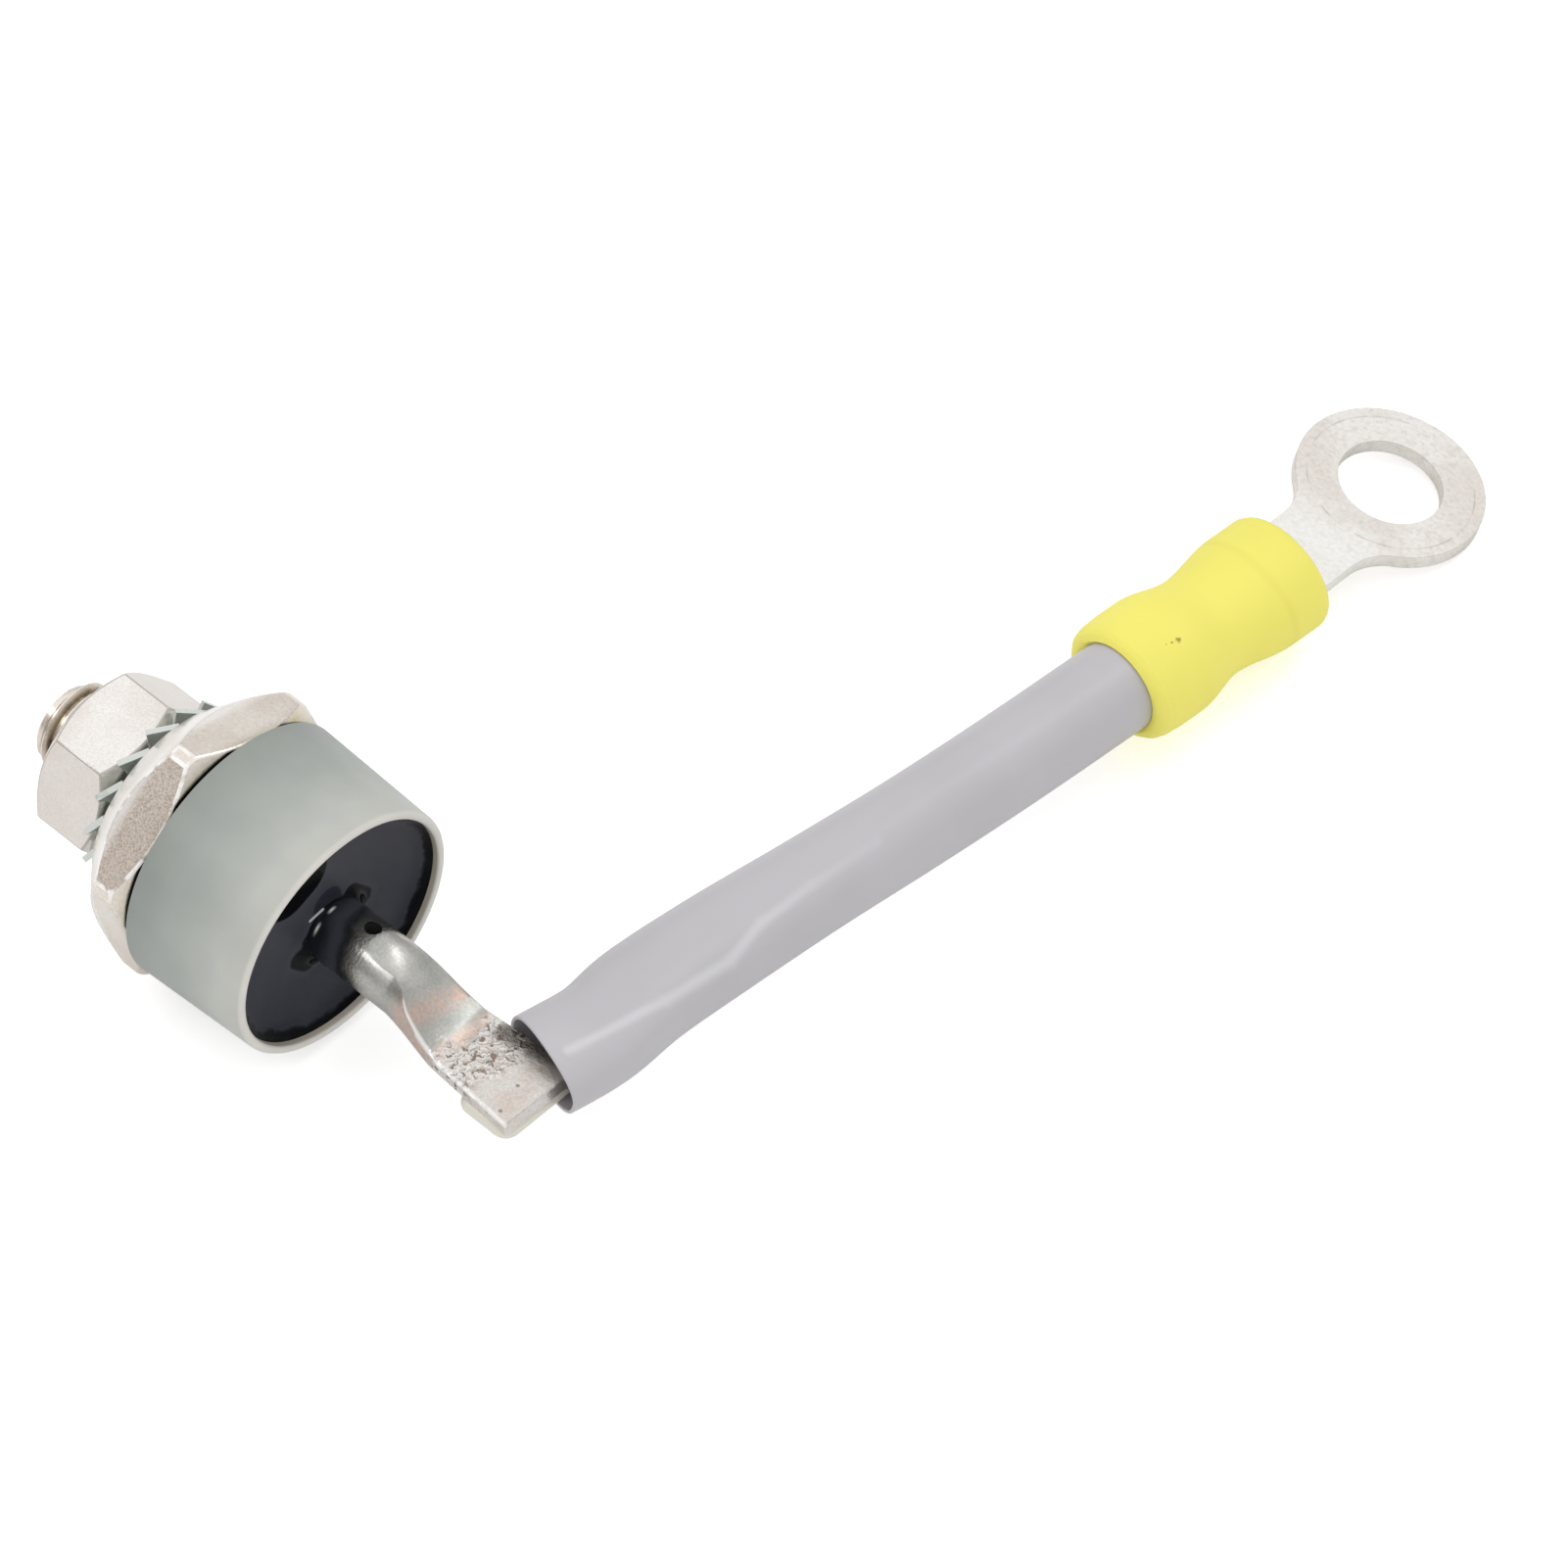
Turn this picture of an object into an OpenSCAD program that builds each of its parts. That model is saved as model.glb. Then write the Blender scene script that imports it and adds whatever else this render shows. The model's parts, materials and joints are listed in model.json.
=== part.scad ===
// Stud-mounted rectifier diode with a sleeved flexible lead and a ring terminal.
// Millimetres, +Z up. It lies as it comes to rest: the stud's axis runs along X,
// the lead runs off along +Y and the ring's tip touches the surface at Z = 0.

/* [Stud and flange] */
// Outside diameter of the stud's thread
stud_d = 6; // [5.6:0.1:6.2]
// Diameter half way up the thread's ridges, which stands for the thread inside the nut
thread_mean_d = 5.35; // [5.2:0.05:5.5]
// Length of the stud from the flange's seat to its tip
stud_len = 9.4; // [9:0.1:12]
// Chamfer at the stud's tip
stud_tip = 0.6; // [0.3:0.1:1]
// Flange size across its flats
flange_af = 17.35; // [17:0.05:17.45]
// Diameter that the flange's corners are turned to
flange_turned_d = 19.6; // [19.2:0.1:19.8]
// Flange thickness
flange_t = 5.2; // [4.8:0.1:5.8]
// Diameter of the flat seat inside the chamfer on the stud side
seat_d = 13.8; // [13.4:0.1:14.6]
// Depth of the chamfer on the stud side, at the corners
seat_chamfer = 2.8; // [2:0.1:3]
// Diameter of the flat face inside the chamfer on the housing side
shoulder_d = 16.9; // [16.8:0.05:17.2]
// Depth of the chamfer on the housing side, at the corners
shoulder_chamfer = 1; // [0.6:0.1:1.4]
// Turn of the flange's corners about the axis, in degrees above +Y
flange_turn = 43.6; // [40:0.2:50]

/* [Nut and washer] */
// Nut size across its flats
nut_af = 10.4; // [9.6:0.1:11.2]
// Nut thickness
nut_t = 5.2; // [4.8:0.1:5.4]
// Turn of the nut's corners about the axis, in degrees above +Y
nut_turn = 72; // [60:0.5:90]
// Gap all round between the stud and the nut
thread_gap = 0.04; // [0.02:0.01:0.1]
// Distance from the nut's outer face to the stud's full thread
thread_start = 0.2; // [0.1:0.05:0.4]
// Lock washer hole
washer_bore = 6.5; // [6.4:0.1:6.8]
// Lock washer ring, outside the hole and inside the teeth
washer_ring_d = 9.6; // [9:0.1:10]
// Lock washer size over its teeth
washer_d = 13; // [12:0.1:13.2]
// Sheet thickness of the lock washer
washer_t = 0.4; // [0.3:0.05:0.5]
// Number of teeth on the lock washer
tooth_count = 16; // [12:1:18]
// Width of one tooth at the washer's ring
tooth_root_w = 1.6; // [1.4:0.05:1.7]
// Width of one tooth at its tip
tooth_w = 2; // [1.8:0.05:2.2]
// Twist of each tooth out of the sheet, in degrees
tooth_twist = 30.5; // [28:0.5:36]

/* [Housing] */
// Housing diameter at the flange
housing_d = 18.2; // [17.8:0.1:18.4]
// Housing diameter at the rim
rim_d = 17.5; // [17.3:0.1:18]
// Housing length
housing_len = 9.4; // [8.6:0.1:10.4]
// Diameter inside the housing
housing_bore = 16.3; // [15.9:0.1:16.6]
// Rounding of the rim
rim_round = 0.3; // [0.2:0.05:0.35]
// Relief at the housing's edge against the flange
foot_relief = 0.25; // [0.1:0.05:0.3]
// Depth of the resin's surface below the rim
resin_recess = 1; // [0.8:0.1:1.6]
// Height that the resin climbs at the housing's wall
wall_climb = 0.5; // [0.2:0.1:0.7]
// Height that the resin climbs at the terminal tube
tube_climb = 1.6; // [0.8:0.1:2]

/* [Die stack] */
// Diameter of the raised platform on the flange
platform_d = 11.6; // [11:0.1:13]
// Height of the raised platform
platform_h = 2; // [1.6:0.1:2.4]
// Thickness of each solder layer
solder_t = 0.1; // [0.06:0.02:0.2]
// Diameter of the silicon die
die_d = 9.2; // [8.6:0.1:10]
// Thickness of the silicon die
die_t = 0.36; // [0.3:0.02:0.5]
// Diameter of the terminal tube's foot
foot_d = 7.2; // [6.4:0.1:8]
// Thickness of the terminal tube's foot
foot_t = 1; // [0.8:0.1:1.3]

/* [Terminal tube] */
// Outside diameter of the terminal tube
tube_d = 4.4; // [4.2:0.1:4.6]
// Wall of the terminal tube
tube_wall = 0.75; // [0.6:0.05:0.9]
// Length of round tube standing out of the rim
tube_out = 5.5; // [5:0.1:6.5]
// Length over which the tube is pinched flat
pinch_len = 4.2; // [3.6:0.1:5]
// Length of the flat blade
blade_len = 7; // [6.6:0.1:8]
// Blade width where the pinch ends
blade_root_w = 5; // [4.8:0.1:5.4]
// Blade width at its end
blade_end_w = 6.1; // [5.8:0.1:6.3]
// Blade thickness
blade_t = 1.2; // [1:0.05:1.4]
// Diameter of the vent hole in the tube
vent_d = 1.1; // [0.6:0.1:1.2]
// Distance of the vent hole from the rim
vent_out = 2.2; // [1.8:0.1:2.8]
// Turn of the vent hole about the axis, in degrees above +Y
vent_turn = 79; // [60:1:90]

/* [Lead] */
// Outside diameter of the lead's sleeve
lead_d = 6.1; // [5.8:0.05:6.2]
// Wall of the sleeve
sleeve_wall = 0.75; // [0.6:0.05:0.9]
// Width of the sleeve's flattened mouth at the blade
mouth_w = 6.8; // [6.7:0.05:7.2]
// Height of the sleeve's flattened mouth at the blade
mouth_h = 4.2; // [4.1:0.05:4.6]
// Wall of the sleeve at its stretched mouth
mouth_wall = 0.4; // [0.3:0.05:0.45]
// Length of the sleeve's mouth that covers the blade's edge
mouth_cover = 0.8; // [0.4:0.1:1]
// Gap all round between the conductor and the sleeve
core_gap = 0.03; // [0.02:0.01:0.06]
// Width of the conductor's flattened end
strip_w = 4.4; // [4:0.1:4.6]
// Thickness of the conductor's flattened end
strip_t = 0.75; // [0.6:0.05:0.85]
// Rounding of the flattened end's corners
strip_round = 1; // [0.6:0.1:1.4]
// Solder between the blade and the conductor's flattened end
joint_t = 0.12; // [0.08:0.02:0.2]

/* [Ring terminal] */
// Outside diameter of the ring
ring_d = 12.3; // [12:0.1:12.8]
// Diameter of the ring's hole
ring_hole = 6.8; // [6.4:0.1:7]
// Thickness of the tongue and ring
tongue_t = 1; // [0.8:0.05:1.1]
// Width of the tongue where it leaves the insulator
neck_w = 5.6; // [5.4:0.1:6.2]
// Radius of the fillets between the tongue and the ring
neck_fillet = 4; // [3:0.1:5]
// Distance from the insulator's end to the ring's centre
tongue_len = 11; // [10.6:0.1:12]
// Outside diameter of the crimp barrel
barrel_d = 5.5; // [5.3:0.05:5.6]
// Wall of the crimp barrel
barrel_wall = 0.8; // [0.7:0.05:0.9]
// Length of the crimp barrel
barrel_len = 8.6; // [8:0.1:9]
// Downward bend of the tongue at the insulator, in degrees
tongue_bend = 6; // [6:0.5:9]
// Sideways bend of the tongue at the insulator, in degrees
tongue_swing = -6; // [-7:0.5:5]
// Turn of the ring about its tongue, in degrees
tongue_roll = 9.5; // [0:0.5:12]

/* [Insulator] */
// Length of the terminal's insulator
insulator_len = 14.8; // [14:0.1:16]
// Width of the insulator at its wire end
insulator_w = 8.8; // [8.6:0.05:9]
// Width of the insulator at its ring end
shroud_w = 8.6; // [8.2:0.05:8.8]
// Width of the crimped waist
waist_w = 7.4; // [7.2:0.05:7.6]
// Height of the pressed insulator as a share of its width
insulator_flat = 0.86; // [0.84:0.01:1]
// Length of lead that goes into the insulator
lead_entry = 4.6; // [4:0.1:5]
// Gap all round between the sleeve and the insulator
entry_gap = 0.05; // [0.02:0.01:0.1]

/* [Hidden] */
$fn = 64;
eps = 0.02;

stud_r = stud_d / 2;
mean_r = thread_mean_d / 2;
turned_r = flange_turned_d / 2;
washer_h = tooth_w * sin(tooth_twist) + washer_t * cos(tooth_twist);
nut_at = -flange_t - washer_h;
nut_out = nut_at - nut_t;
tip_at = -flange_t - stud_len;
bore_r = housing_bore / 2;
resin_at = housing_len - resin_recess;
die_at = platform_h + solder_t;
top_solder_at = die_at + die_t;
foot_at = top_solder_at + solder_t;
tube_r = tube_d / 2;
pinch_at = housing_len + tube_out;
blade_at = pinch_at + pinch_len;
end_at = blade_at + blade_len;
blade_low = -tube_r;
blade_top = blade_low + blade_t;
corner_half = 30 - acos(flange_af / flange_turned_d);
corner_off = abs((flange_turn + 120) % 60 - 30);
axis_h = turned_r * cos(max(0, corner_off - corner_half));
x_mid = (tip_at + end_at) / 2;

// Points of the pinched tube's section, as fractions of its half width and height.
SIDES = 40;
function power(v, p) = sign(v) * pow(abs(v), p);
function pinch_zt(f) = tube_r + (blade_top - tube_r) * f;
function pinch_hw(f) = tube_r + (blade_root_w / 2 - tube_r) * f * f * (3 - 2 * f);
function pinch_point(f, hw, q) = let (p = 1 - 0.72 * f, h = tube_r * (1 + 0.15 * f))
    [hw * power(cos(q), p), max(-tube_r, min(h * power(sin(q), p), pinch_zt(f)))];
PINCH_STEPS = 12;
// The first ring is bedded just inside the round tube's end.
BED = 0.3;
BED_SIZE = 0.95;
PINCH_RINGS = [for (k = [0 : PINCH_STEPS]) [for (i = [0 : SIDES - 1])
    let (f = k / PINCH_STEPS, p = pinch_point(f, pinch_hw(f), 360 * i / SIDES) * (k == 0 ? BED_SIZE : 1))
    [pinch_at + (k == 0 ? -BED : pinch_len * f), p[0], p[1]]]];
BLADE_RING = [[for (i = [0 : SIDES - 1]) let (p = pinch_point(1, blade_end_w / 2, 360 * i / SIDES))
    [end_at, p[0], p[1]]]];

// Closed solid through rings of points, first ring to last.
function flat(rings) = [for (r = rings) for (p = r) p];
function skin(n, rows, from, out) = [for (k = [0 : rows - 2]) for (i = [0 : n - 1])
    let (a = from + k * n + i, b = from + k * n + (i + 1) % n)
    out ? [a, a + n, b + n, b] : [a, b, b + n, a + n]];
function cap(n, from, up) = [[for (i = [0 : n - 1]) from + (up ? n - 1 - i : i)]];

// Route of the lead. The terminal rests with its ring's edge on the surface; the
// lead runs from the blade's edge to the terminal's wire end.
terminal_yaw = 1;
terminal_drop = 5;
tongue_yaw = terminal_yaw + tongue_swing;
tongue_drop = terminal_drop + tongue_bend;
ring_at = [20.8, 74.3];
ring_nz = cos(tongue_drop) * cos(tongue_roll);
ring_lift = tongue_t / 2 * ring_nz + ring_d / 2 * sqrt(1 - ring_nz * ring_nz);
function heading(yaw, drop) = [sin(yaw) * cos(drop), cos(yaw) * cos(drop), -sin(drop)];
ring_c = [ring_at[0], ring_at[1], ring_lift];
barrel_dir = heading(terminal_yaw, terminal_drop);
bend_c = ring_c - tongue_len * heading(tongue_yaw, tongue_drop);
wire_end = bend_c - insulator_len * barrel_dir;
strip_mid = end_at - strip_w / 2 - x_mid;
mouth_shift = 0.2;
mouth_yaw = 13;
mouth_drop = 2;
mouth_at = [strip_mid + mouth_shift, blade_end_w / 2 - mouth_cover, axis_h + blade_low];
mouth_dir = heading(mouth_yaw, mouth_drop);
lead_in = wire_end + lead_entry * barrel_dir;

// Fractions of the way along the lead, with the sleeve's half width and height there.
LEAD_SIDES = 12;
lead_r = lead_d / 2;
core_r = lead_r - sleeve_wall;
LEAD_AT = [0, 0.09, 0.18, 0.31, 0.47, 0.64, 0.81, 1];
BOW = [0, 0, -0.4, -0.5, -0.3, 0, 0.1, 0];
WIDEN = [1, 1.6, 1.8, 1.3, 0.4, 0, 0, 0];
LOWER = [1, 0.75, 0.55, 0.35, 0.15, 0, 0, 0];
THIN = [1, 0.8, 0.5, 0, 0, 0, 0, 0];
SQUARE = [0.8, 1, 1, 1, 1, 1, 1, 1, 1];
function mix(a, b, f) = a + (b - a) * f;
lead_turns = len(LEAD_AT);
LEAD_MID = concat(
    [for (k = [0 : lead_turns - 1]) mix(mouth_at, wire_end, LEAD_AT[k]) + [BOW[k], 0, 0]],
    [lead_in]);
LEAD_OUT = concat(
    [for (k = [0 : lead_turns - 1])
        [lead_r + WIDEN[k] * (mouth_w / 2 - lead_r), lead_r + LOWER[k] * (mouth_h / 2 - lead_r)]],
    [[lead_r, lead_r]]);
function lead_wall(k) = k == lead_turns ? sleeve_wall : mix(sleeve_wall, mouth_wall, THIN[k]);
LEAD_IN = [for (k = [0 : lead_turns]) LEAD_OUT[k] - [lead_wall(k), lead_wall(k)]];

// Route of the conductor: flat under the blade, then round inside the sleeve.
strip_z = axis_h + blade_low - joint_t - strip_t / 2;
strip_from = [strip_mid, 0.1 - blade_end_w / 2, strip_z];
strip_to = [strip_mid, blade_end_w / 2, strip_z];
barrel_r = barrel_d / 2;
crimp_r = barrel_r - barrel_wall;
crimp_end = lead_in + (barrel_len - 1) * barrel_dir;
CORNER = [0, 0.3, 1];
CORE_MID = concat([for (f = CORNER) strip_from + [0, f * strip_round, 0]],
                  [strip_to],
                  [for (k = [2 : lead_turns - 1]) LEAD_MID[k]],
                  [lead_in - barrel_dir, lead_in, crimp_end]);
CORE_HALF = concat([for (f = [1, 0.3, 0, 0]) [strip_w / 2 - f * strip_round, strip_t / 2]],
                   [[1.1 * core_r, 0.7 * core_r]],
                   [for (k = [3 : lead_turns - 1]) LEAD_IN[k] - [core_gap, core_gap]],
                   [[core_r - core_gap, core_r - core_gap], [crimp_r, crimp_r], [crimp_r, crimp_r]]);
CORE_POWER = concat([0.3, 0.3, 0.3, 0.3, 0.8], [for (k = [3 : lead_turns + 2]) 1]);

function unit(v) = v / norm(v);
function way(mid, k, first, last) = k == 0 ? first : k == len(mid) - 1 ? last
    : unit(unit(mid[k + 1] - mid[k]) + unit(mid[k] - mid[k - 1]));
function ring(c, t, half, p) = let (w = unit(cross(t, [0, 0, 1])), u = cross(w, t))
    [for (i = [0 : LEAD_SIDES - 1]) let (q = 360 * i / LEAD_SIDES)
        c + half[0] * power(cos(q), p) * w + half[1] * power(sin(q), p) * u];
function lead_way(k) = way(LEAD_MID, k, mouth_dir, barrel_dir);
SLEEVE_OUT = [for (k = [0 : lead_turns]) ring(LEAD_MID[k], lead_way(k), LEAD_OUT[k], SQUARE[k])];
SLEEVE_IN = [for (k = [0 : lead_turns]) ring(LEAD_MID[k], lead_way(k), LEAD_IN[k], SQUARE[k])];
CORE_WAY = concat([for (k = [0 : 3]) [0, 1, 0]], [for (k = [2 : lead_turns - 1]) lead_way(k)],
                  [barrel_dir, barrel_dir, barrel_dir]);
CORE_RINGS = [for (k = [0 : len(CORE_MID) - 1])
    ring(CORE_MID[k], CORE_WAY[k], CORE_HALF[k], CORE_POWER[k])];

// Puts local +Z on the diode's axis, pointing from the stud to the terminal tube.
module on_axis() {
    translate([-x_mid, 0, axis_h]) rotate([0, 90, 0]) children();
}

// Puts local +Y on the crimp barrel's axis, from its wire end.
module on_barrel() {
    translate(wire_end) rotate([0, 0, -terminal_yaw]) rotate([-terminal_drop, 0, 0]) children();
}

// Puts the ring's centre at the origin, its tongue along -Y and its top along +Z.
module on_ring() {
    translate(ring_c) rotate([0, 0, -tongue_yaw]) rotate([-tongue_drop, 0, 0])
        rotate([0, tongue_roll, 0]) children();
}

module hexagon(af, turn, from, t) {
    translate([0, 0, from]) rotate([0, 0, turn + 90]) cylinder(r = af / sqrt(3), h = t, $fn = 6);
}

module stud_base() {
    color([0.8, 0.76, 0.72]) on_axis() {
        intersection() {
            hexagon(flange_af, flange_turn, -flange_t, flange_t);
            rotate_extrude() polygon([
                [0, -flange_t],
                [seat_d / 2, -flange_t],
                [turned_r, -flange_t + seat_chamfer],
                [turned_r, -shoulder_chamfer],
                [shoulder_d / 2, 0],
                [0, 0]]);
        }
        rotate_extrude() polygon([
            [0, tip_at],
            [stud_r - stud_tip, tip_at],
            [stud_r, tip_at + stud_tip],
            [stud_r, nut_out - thread_start],
            [mean_r, nut_out - thread_start],
            [mean_r, -flange_t + eps],
            [0, -flange_t + eps]]);
        translate([0, 0, -eps]) cylinder(d = platform_d, h = platform_h + eps);
    }
}

module lock_washer() {
    mid = -flange_t - washer_h / 2;
    // The teeth start inside the ring's edge, so that they join it.
    root = washer_ring_d / 2 - washer_t;
    color([0.6, 0.61, 0.58]) on_axis() {
        difference() {
            translate([0, 0, mid - washer_t / 2]) cylinder(d = washer_ring_d, h = washer_t);
            translate([0, 0, mid - washer_t]) cylinder(d = washer_bore, h = 2 * washer_t);
        }
        for (k = [0 : tooth_count - 1])
            rotate([0, 0, 360 * k / tooth_count])
                translate([root, 0, mid]) rotate([-tooth_twist, 0, 0])
                    translate([0, 0, -washer_t / 2]) linear_extrude(washer_t) polygon([
                        [0, -tooth_root_w / 2],
                        [washer_d / 2 - root, -tooth_w / 2],
                        [washer_d / 2 - root, tooth_w / 2],
                        [0, tooth_root_w / 2]]);
    }
}

module hex_nut() {
    inset = 0.15;
    slope = 36;
    sink = 0.35;
    bore = mean_r + thread_gap;
    start = nut_af / 2 - inset;
    // The chamfer's cones run out past the corners, and the countersink past the face.
    out = nut_af / sqrt(3) + 0.5;
    drop = (out - start) * tan(slope);
    past = 1;
    color([0.86, 0.84, 0.82]) on_axis() difference() {
        intersection() {
            hexagon(nut_af, nut_turn, nut_out, nut_t);
            rotate_extrude() polygon([
                [0, nut_out],
                [start, nut_out],
                [out, nut_out + drop],
                [out, nut_at - drop],
                [start, nut_at],
                [0, nut_at]]);
        }
        rotate_extrude() polygon([
            [0, nut_out - past],
            [stud_r + sink + past, nut_out - past],
            [bore, nut_out + sink + stud_r - bore],
            [bore, nut_at + past],
            [0, nut_at + past]]);
    }
}

module housing() {
    rim_r = rim_d / 2;
    foot_r = housing_d / 2;
    function rim_arc(r, from) = [for (q = [from : 15 : from + 90])
        [r + rim_round * cos(q), housing_len - rim_round + rim_round * sin(q)]];
    color([0.67, 0.7, 0.65]) on_axis() rotate_extrude() polygon(concat(
        [[bore_r, 0], [foot_r - foot_relief, 0], [foot_r, foot_relief]],
        rim_arc(rim_r - rim_round, 0),
        rim_arc(bore_r + rim_round, 90)));
}

module potting() {
    // The surface dips between the wall and the tube and climbs both.
    wall_reach = 1.4;
    tube_reach = 1.5;
    function climb(s, h) = h * pow(s, 3);
    color([0.18, 0.18, 0.21]) on_axis() rotate_extrude() polygon(concat(
        [[platform_d / 2, 0], [bore_r, 0]],
        [for (s = [1 : -0.125 : 0]) [bore_r - wall_reach * (1 - s), resin_at + climb(s, wall_climb)]],
        [for (s = [0 : 0.125 : 1]) [tube_r + tube_reach * (1 - s), resin_at + climb(s, tube_climb)]],
        [[tube_r, foot_at + foot_t],
         [foot_d / 2, foot_at + foot_t],
         [foot_d / 2, top_solder_at],
         [die_d / 2, top_solder_at],
         [die_d / 2, platform_h],
         [platform_d / 2, platform_h]]));
}

module lower_solder() {
    color([0.62, 0.62, 0.64]) on_axis() translate([0, 0, platform_h]) cylinder(d = die_d, h = solder_t);
}

module silicon_die() {
    color([0.3, 0.32, 0.36]) on_axis() translate([0, 0, die_at]) cylinder(d = die_d, h = die_t);
}

module upper_solder() {
    color([0.62, 0.62, 0.64]) on_axis() translate([0, 0, top_solder_at]) cylinder(d = foot_d, h = solder_t);
}

module terminal_tube() {
    color([0.62, 0.62, 0.6]) {
        difference() {
            on_axis() {
                translate([0, 0, foot_at]) cylinder(d = foot_d, h = foot_t);
                translate([0, 0, foot_at]) cylinder(d = tube_d, h = pinch_at - foot_at);
            }
            on_axis() translate([0, 0, foot_at + foot_t])
                cylinder(r = tube_r - tube_wall, h = pinch_at - foot_at - foot_t - 2 * BED);
            translate([housing_len + vent_out - x_mid, 0, axis_h]) rotate([vent_turn - 90, 0, 0])
                cylinder(d = vent_d, h = tube_d);
        }
        translate([-x_mid, 0, axis_h]) polyhedron(
            flat(concat(PINCH_RINGS, BLADE_RING)),
            concat(skin(SIDES, PINCH_STEPS + 2, 0, true), cap(SIDES, 0, false),
                   cap(SIDES, (PINCH_STEPS + 1) * SIDES, true)));
    }
}

module solder_joint() {
    reach = blade_end_w / 2 - 0.1 - strip_round / 2;
    color([0.8, 0.79, 0.76]) translate([strip_mid - 0.4 * strip_w, -reach, axis_h + blade_low - joint_t])
        cube([0.8 * strip_w, 2 * reach, joint_t]);
}

module lead_conductor() {
    rows = len(CORE_RINGS);
    color([0.72, 0.45, 0.3]) polyhedron(
        flat(CORE_RINGS),
        concat(skin(LEAD_SIDES, rows, 0, true), cap(LEAD_SIDES, 0, false),
               cap(LEAD_SIDES, (rows - 1) * LEAD_SIDES, true)));
}

module lead_sleeve() {
    rows = len(SLEEVE_OUT);
    n = LEAD_SIDES;
    last = (rows - 1) * n;
    color([0.73, 0.72, 0.73]) polyhedron(
        flat(concat(SLEEVE_OUT, SLEEVE_IN)),
        concat(skin(n, rows, 0, true), skin(n, rows, rows * n, false),
               [for (i = [0 : n - 1]) let (j = (i + 1) % n) [i, j, rows * n + j, rows * n + i]],
               [for (i = [0 : n - 1]) let (j = (i + 1) % n)
                   [last + j, last + i, rows * n + last + i, rows * n + last + j]]));
}

module tongue_outline() {
    // The fillet's centre is one fillet radius outside both the neck's side and the ring.
    side = neck_w / 2 + neck_fillet;
    far = ring_d / 2 + neck_fillet;
    back = sqrt(far * far - side * side);
    circle(d = ring_d);
    difference() {
        translate([-side, 0.3 - tongue_len]) square([2 * side, tongue_len - 0.3]);
        for (s = [-1, 1]) {
            translate([s * side, -back]) circle(r = neck_fillet);
            translate([s * (side + neck_w / 2) - side, -tongue_len - 1])
                square([2 * side, tongue_len + 1 - back]);
            translate([s * (side + side * ring_d / 2 / far) - side, -back])
                square([2 * side, back + 1]);
        }
    }
}

module ring_terminal() {
    color([0.88, 0.87, 0.85]) {
        on_ring() translate([0, 0, -tongue_t / 2]) linear_extrude(tongue_t) difference() {
            tongue_outline();
            circle(d = ring_hole);
        }
        on_barrel() translate([0, lead_entry, 0]) rotate([-90, 0, 0]) difference() {
            cylinder(d = barrel_d, h = barrel_len);
            translate([0, 0, -1]) cylinder(r = crimp_r, h = barrel_len);
        }
        on_barrel() translate([-neck_w / 2 + 0.3, lead_entry + barrel_len - 0.6, -tongue_t / 2])
            cube([neck_w - 0.6, insulator_len - lead_entry - barrel_len + 1.2, tongue_t]);
    }
}

module terminal_insulator() {
    sides = 32;
    r = insulator_w / 2;
    w = waist_w / 2;
    e = shroud_w / 2;
    tail = insulator_len;
    // Where the press marks begin, are deepest and end.
    press = [3.8, 0.51 * tail, 12];
    // Half widths along it: half a cosine wave down to the waist, and another up to the ring end.
    rows = concat(
        [[r - 0.4, 0], [r - 0.15, 0.2], [r - 0.05, 1], [r, 2.2], [r, 3.4]],
        [for (q = [15 : 15 : 180]) [mix(w, r, (1 + cos(q)) / 2), mix(press[0], press[1], q / 180)]],
        [for (q = [15 : 15 : 180]) [mix(w, e, (1 - cos(q)) / 2), mix(press[1], press[2], q / 180)]],
        [[e, tail - 0.5], [e - 0.15, tail - 0.15], [e - 0.5, tail]]);
    rings = [for (row = rows) [for (i = [0 : sides - 1]) let (q = 360 * i / sides)
        [row[0] * cos(q), insulator_flat * row[0] * sin(q), row[1]]]];
    color([0.95, 0.91, 0.4]) on_barrel() rotate([-90, 0, 0]) difference() {
        polyhedron(flat(rings), concat(
            skin(sides, len(rows), 0, true), cap(sides, 0, false),
            cap(sides, (len(rows) - 1) * sides, true)));
        translate([0, 0, -1]) cylinder(r = lead_r + entry_gap, h = 1 + lead_entry);
        translate([0, 0, lead_entry - 1]) cylinder(r = barrel_r, h = tail);
    }
}

stud_base();
lock_washer();
hex_nut();
housing();
potting();
lower_solder();
silicon_die();
upper_solder();
terminal_tube();
solder_joint();
lead_conductor();
lead_sleeve();
ring_terminal();
terminal_insulator();
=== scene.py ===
"""Stud rectifier diode with a sleeved lead, dressed for a soft studio picture.

Lengths in the classes are millimetres. The diode's own parts are drawn about
its axis, with x from the flange's front face. The lead and the places in the
finishes are drawn in the frame.
"""

from __future__ import annotations

import json
import logging
import math
from collections.abc import Callable, Sequence
from dataclasses import dataclass
from enum import Enum

import bmesh
import bpy
from mathutils import Matrix, Vector


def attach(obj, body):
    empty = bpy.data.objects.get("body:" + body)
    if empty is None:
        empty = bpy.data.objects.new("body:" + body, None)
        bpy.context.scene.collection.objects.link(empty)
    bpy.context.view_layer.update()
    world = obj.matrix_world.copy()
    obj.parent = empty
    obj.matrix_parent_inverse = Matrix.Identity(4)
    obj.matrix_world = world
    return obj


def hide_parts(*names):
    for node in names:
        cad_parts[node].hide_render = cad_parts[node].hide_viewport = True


LOG = logging.getLogger("diode")
MM = 0.001
AXIS = Vector((-5.75, 0.0, 9.609))
HEART = Vector((0.0, 0.0, AXIS.z))
ORIGIN = Vector((0.0, 0.0, 0.0))
EDGE = "edge"

# Points nearer than this are one, and cutters stand over their work by the spare.
TOUCHING = 1e-4
NEAR = 1e-3
SPARE = 1.0

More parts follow.
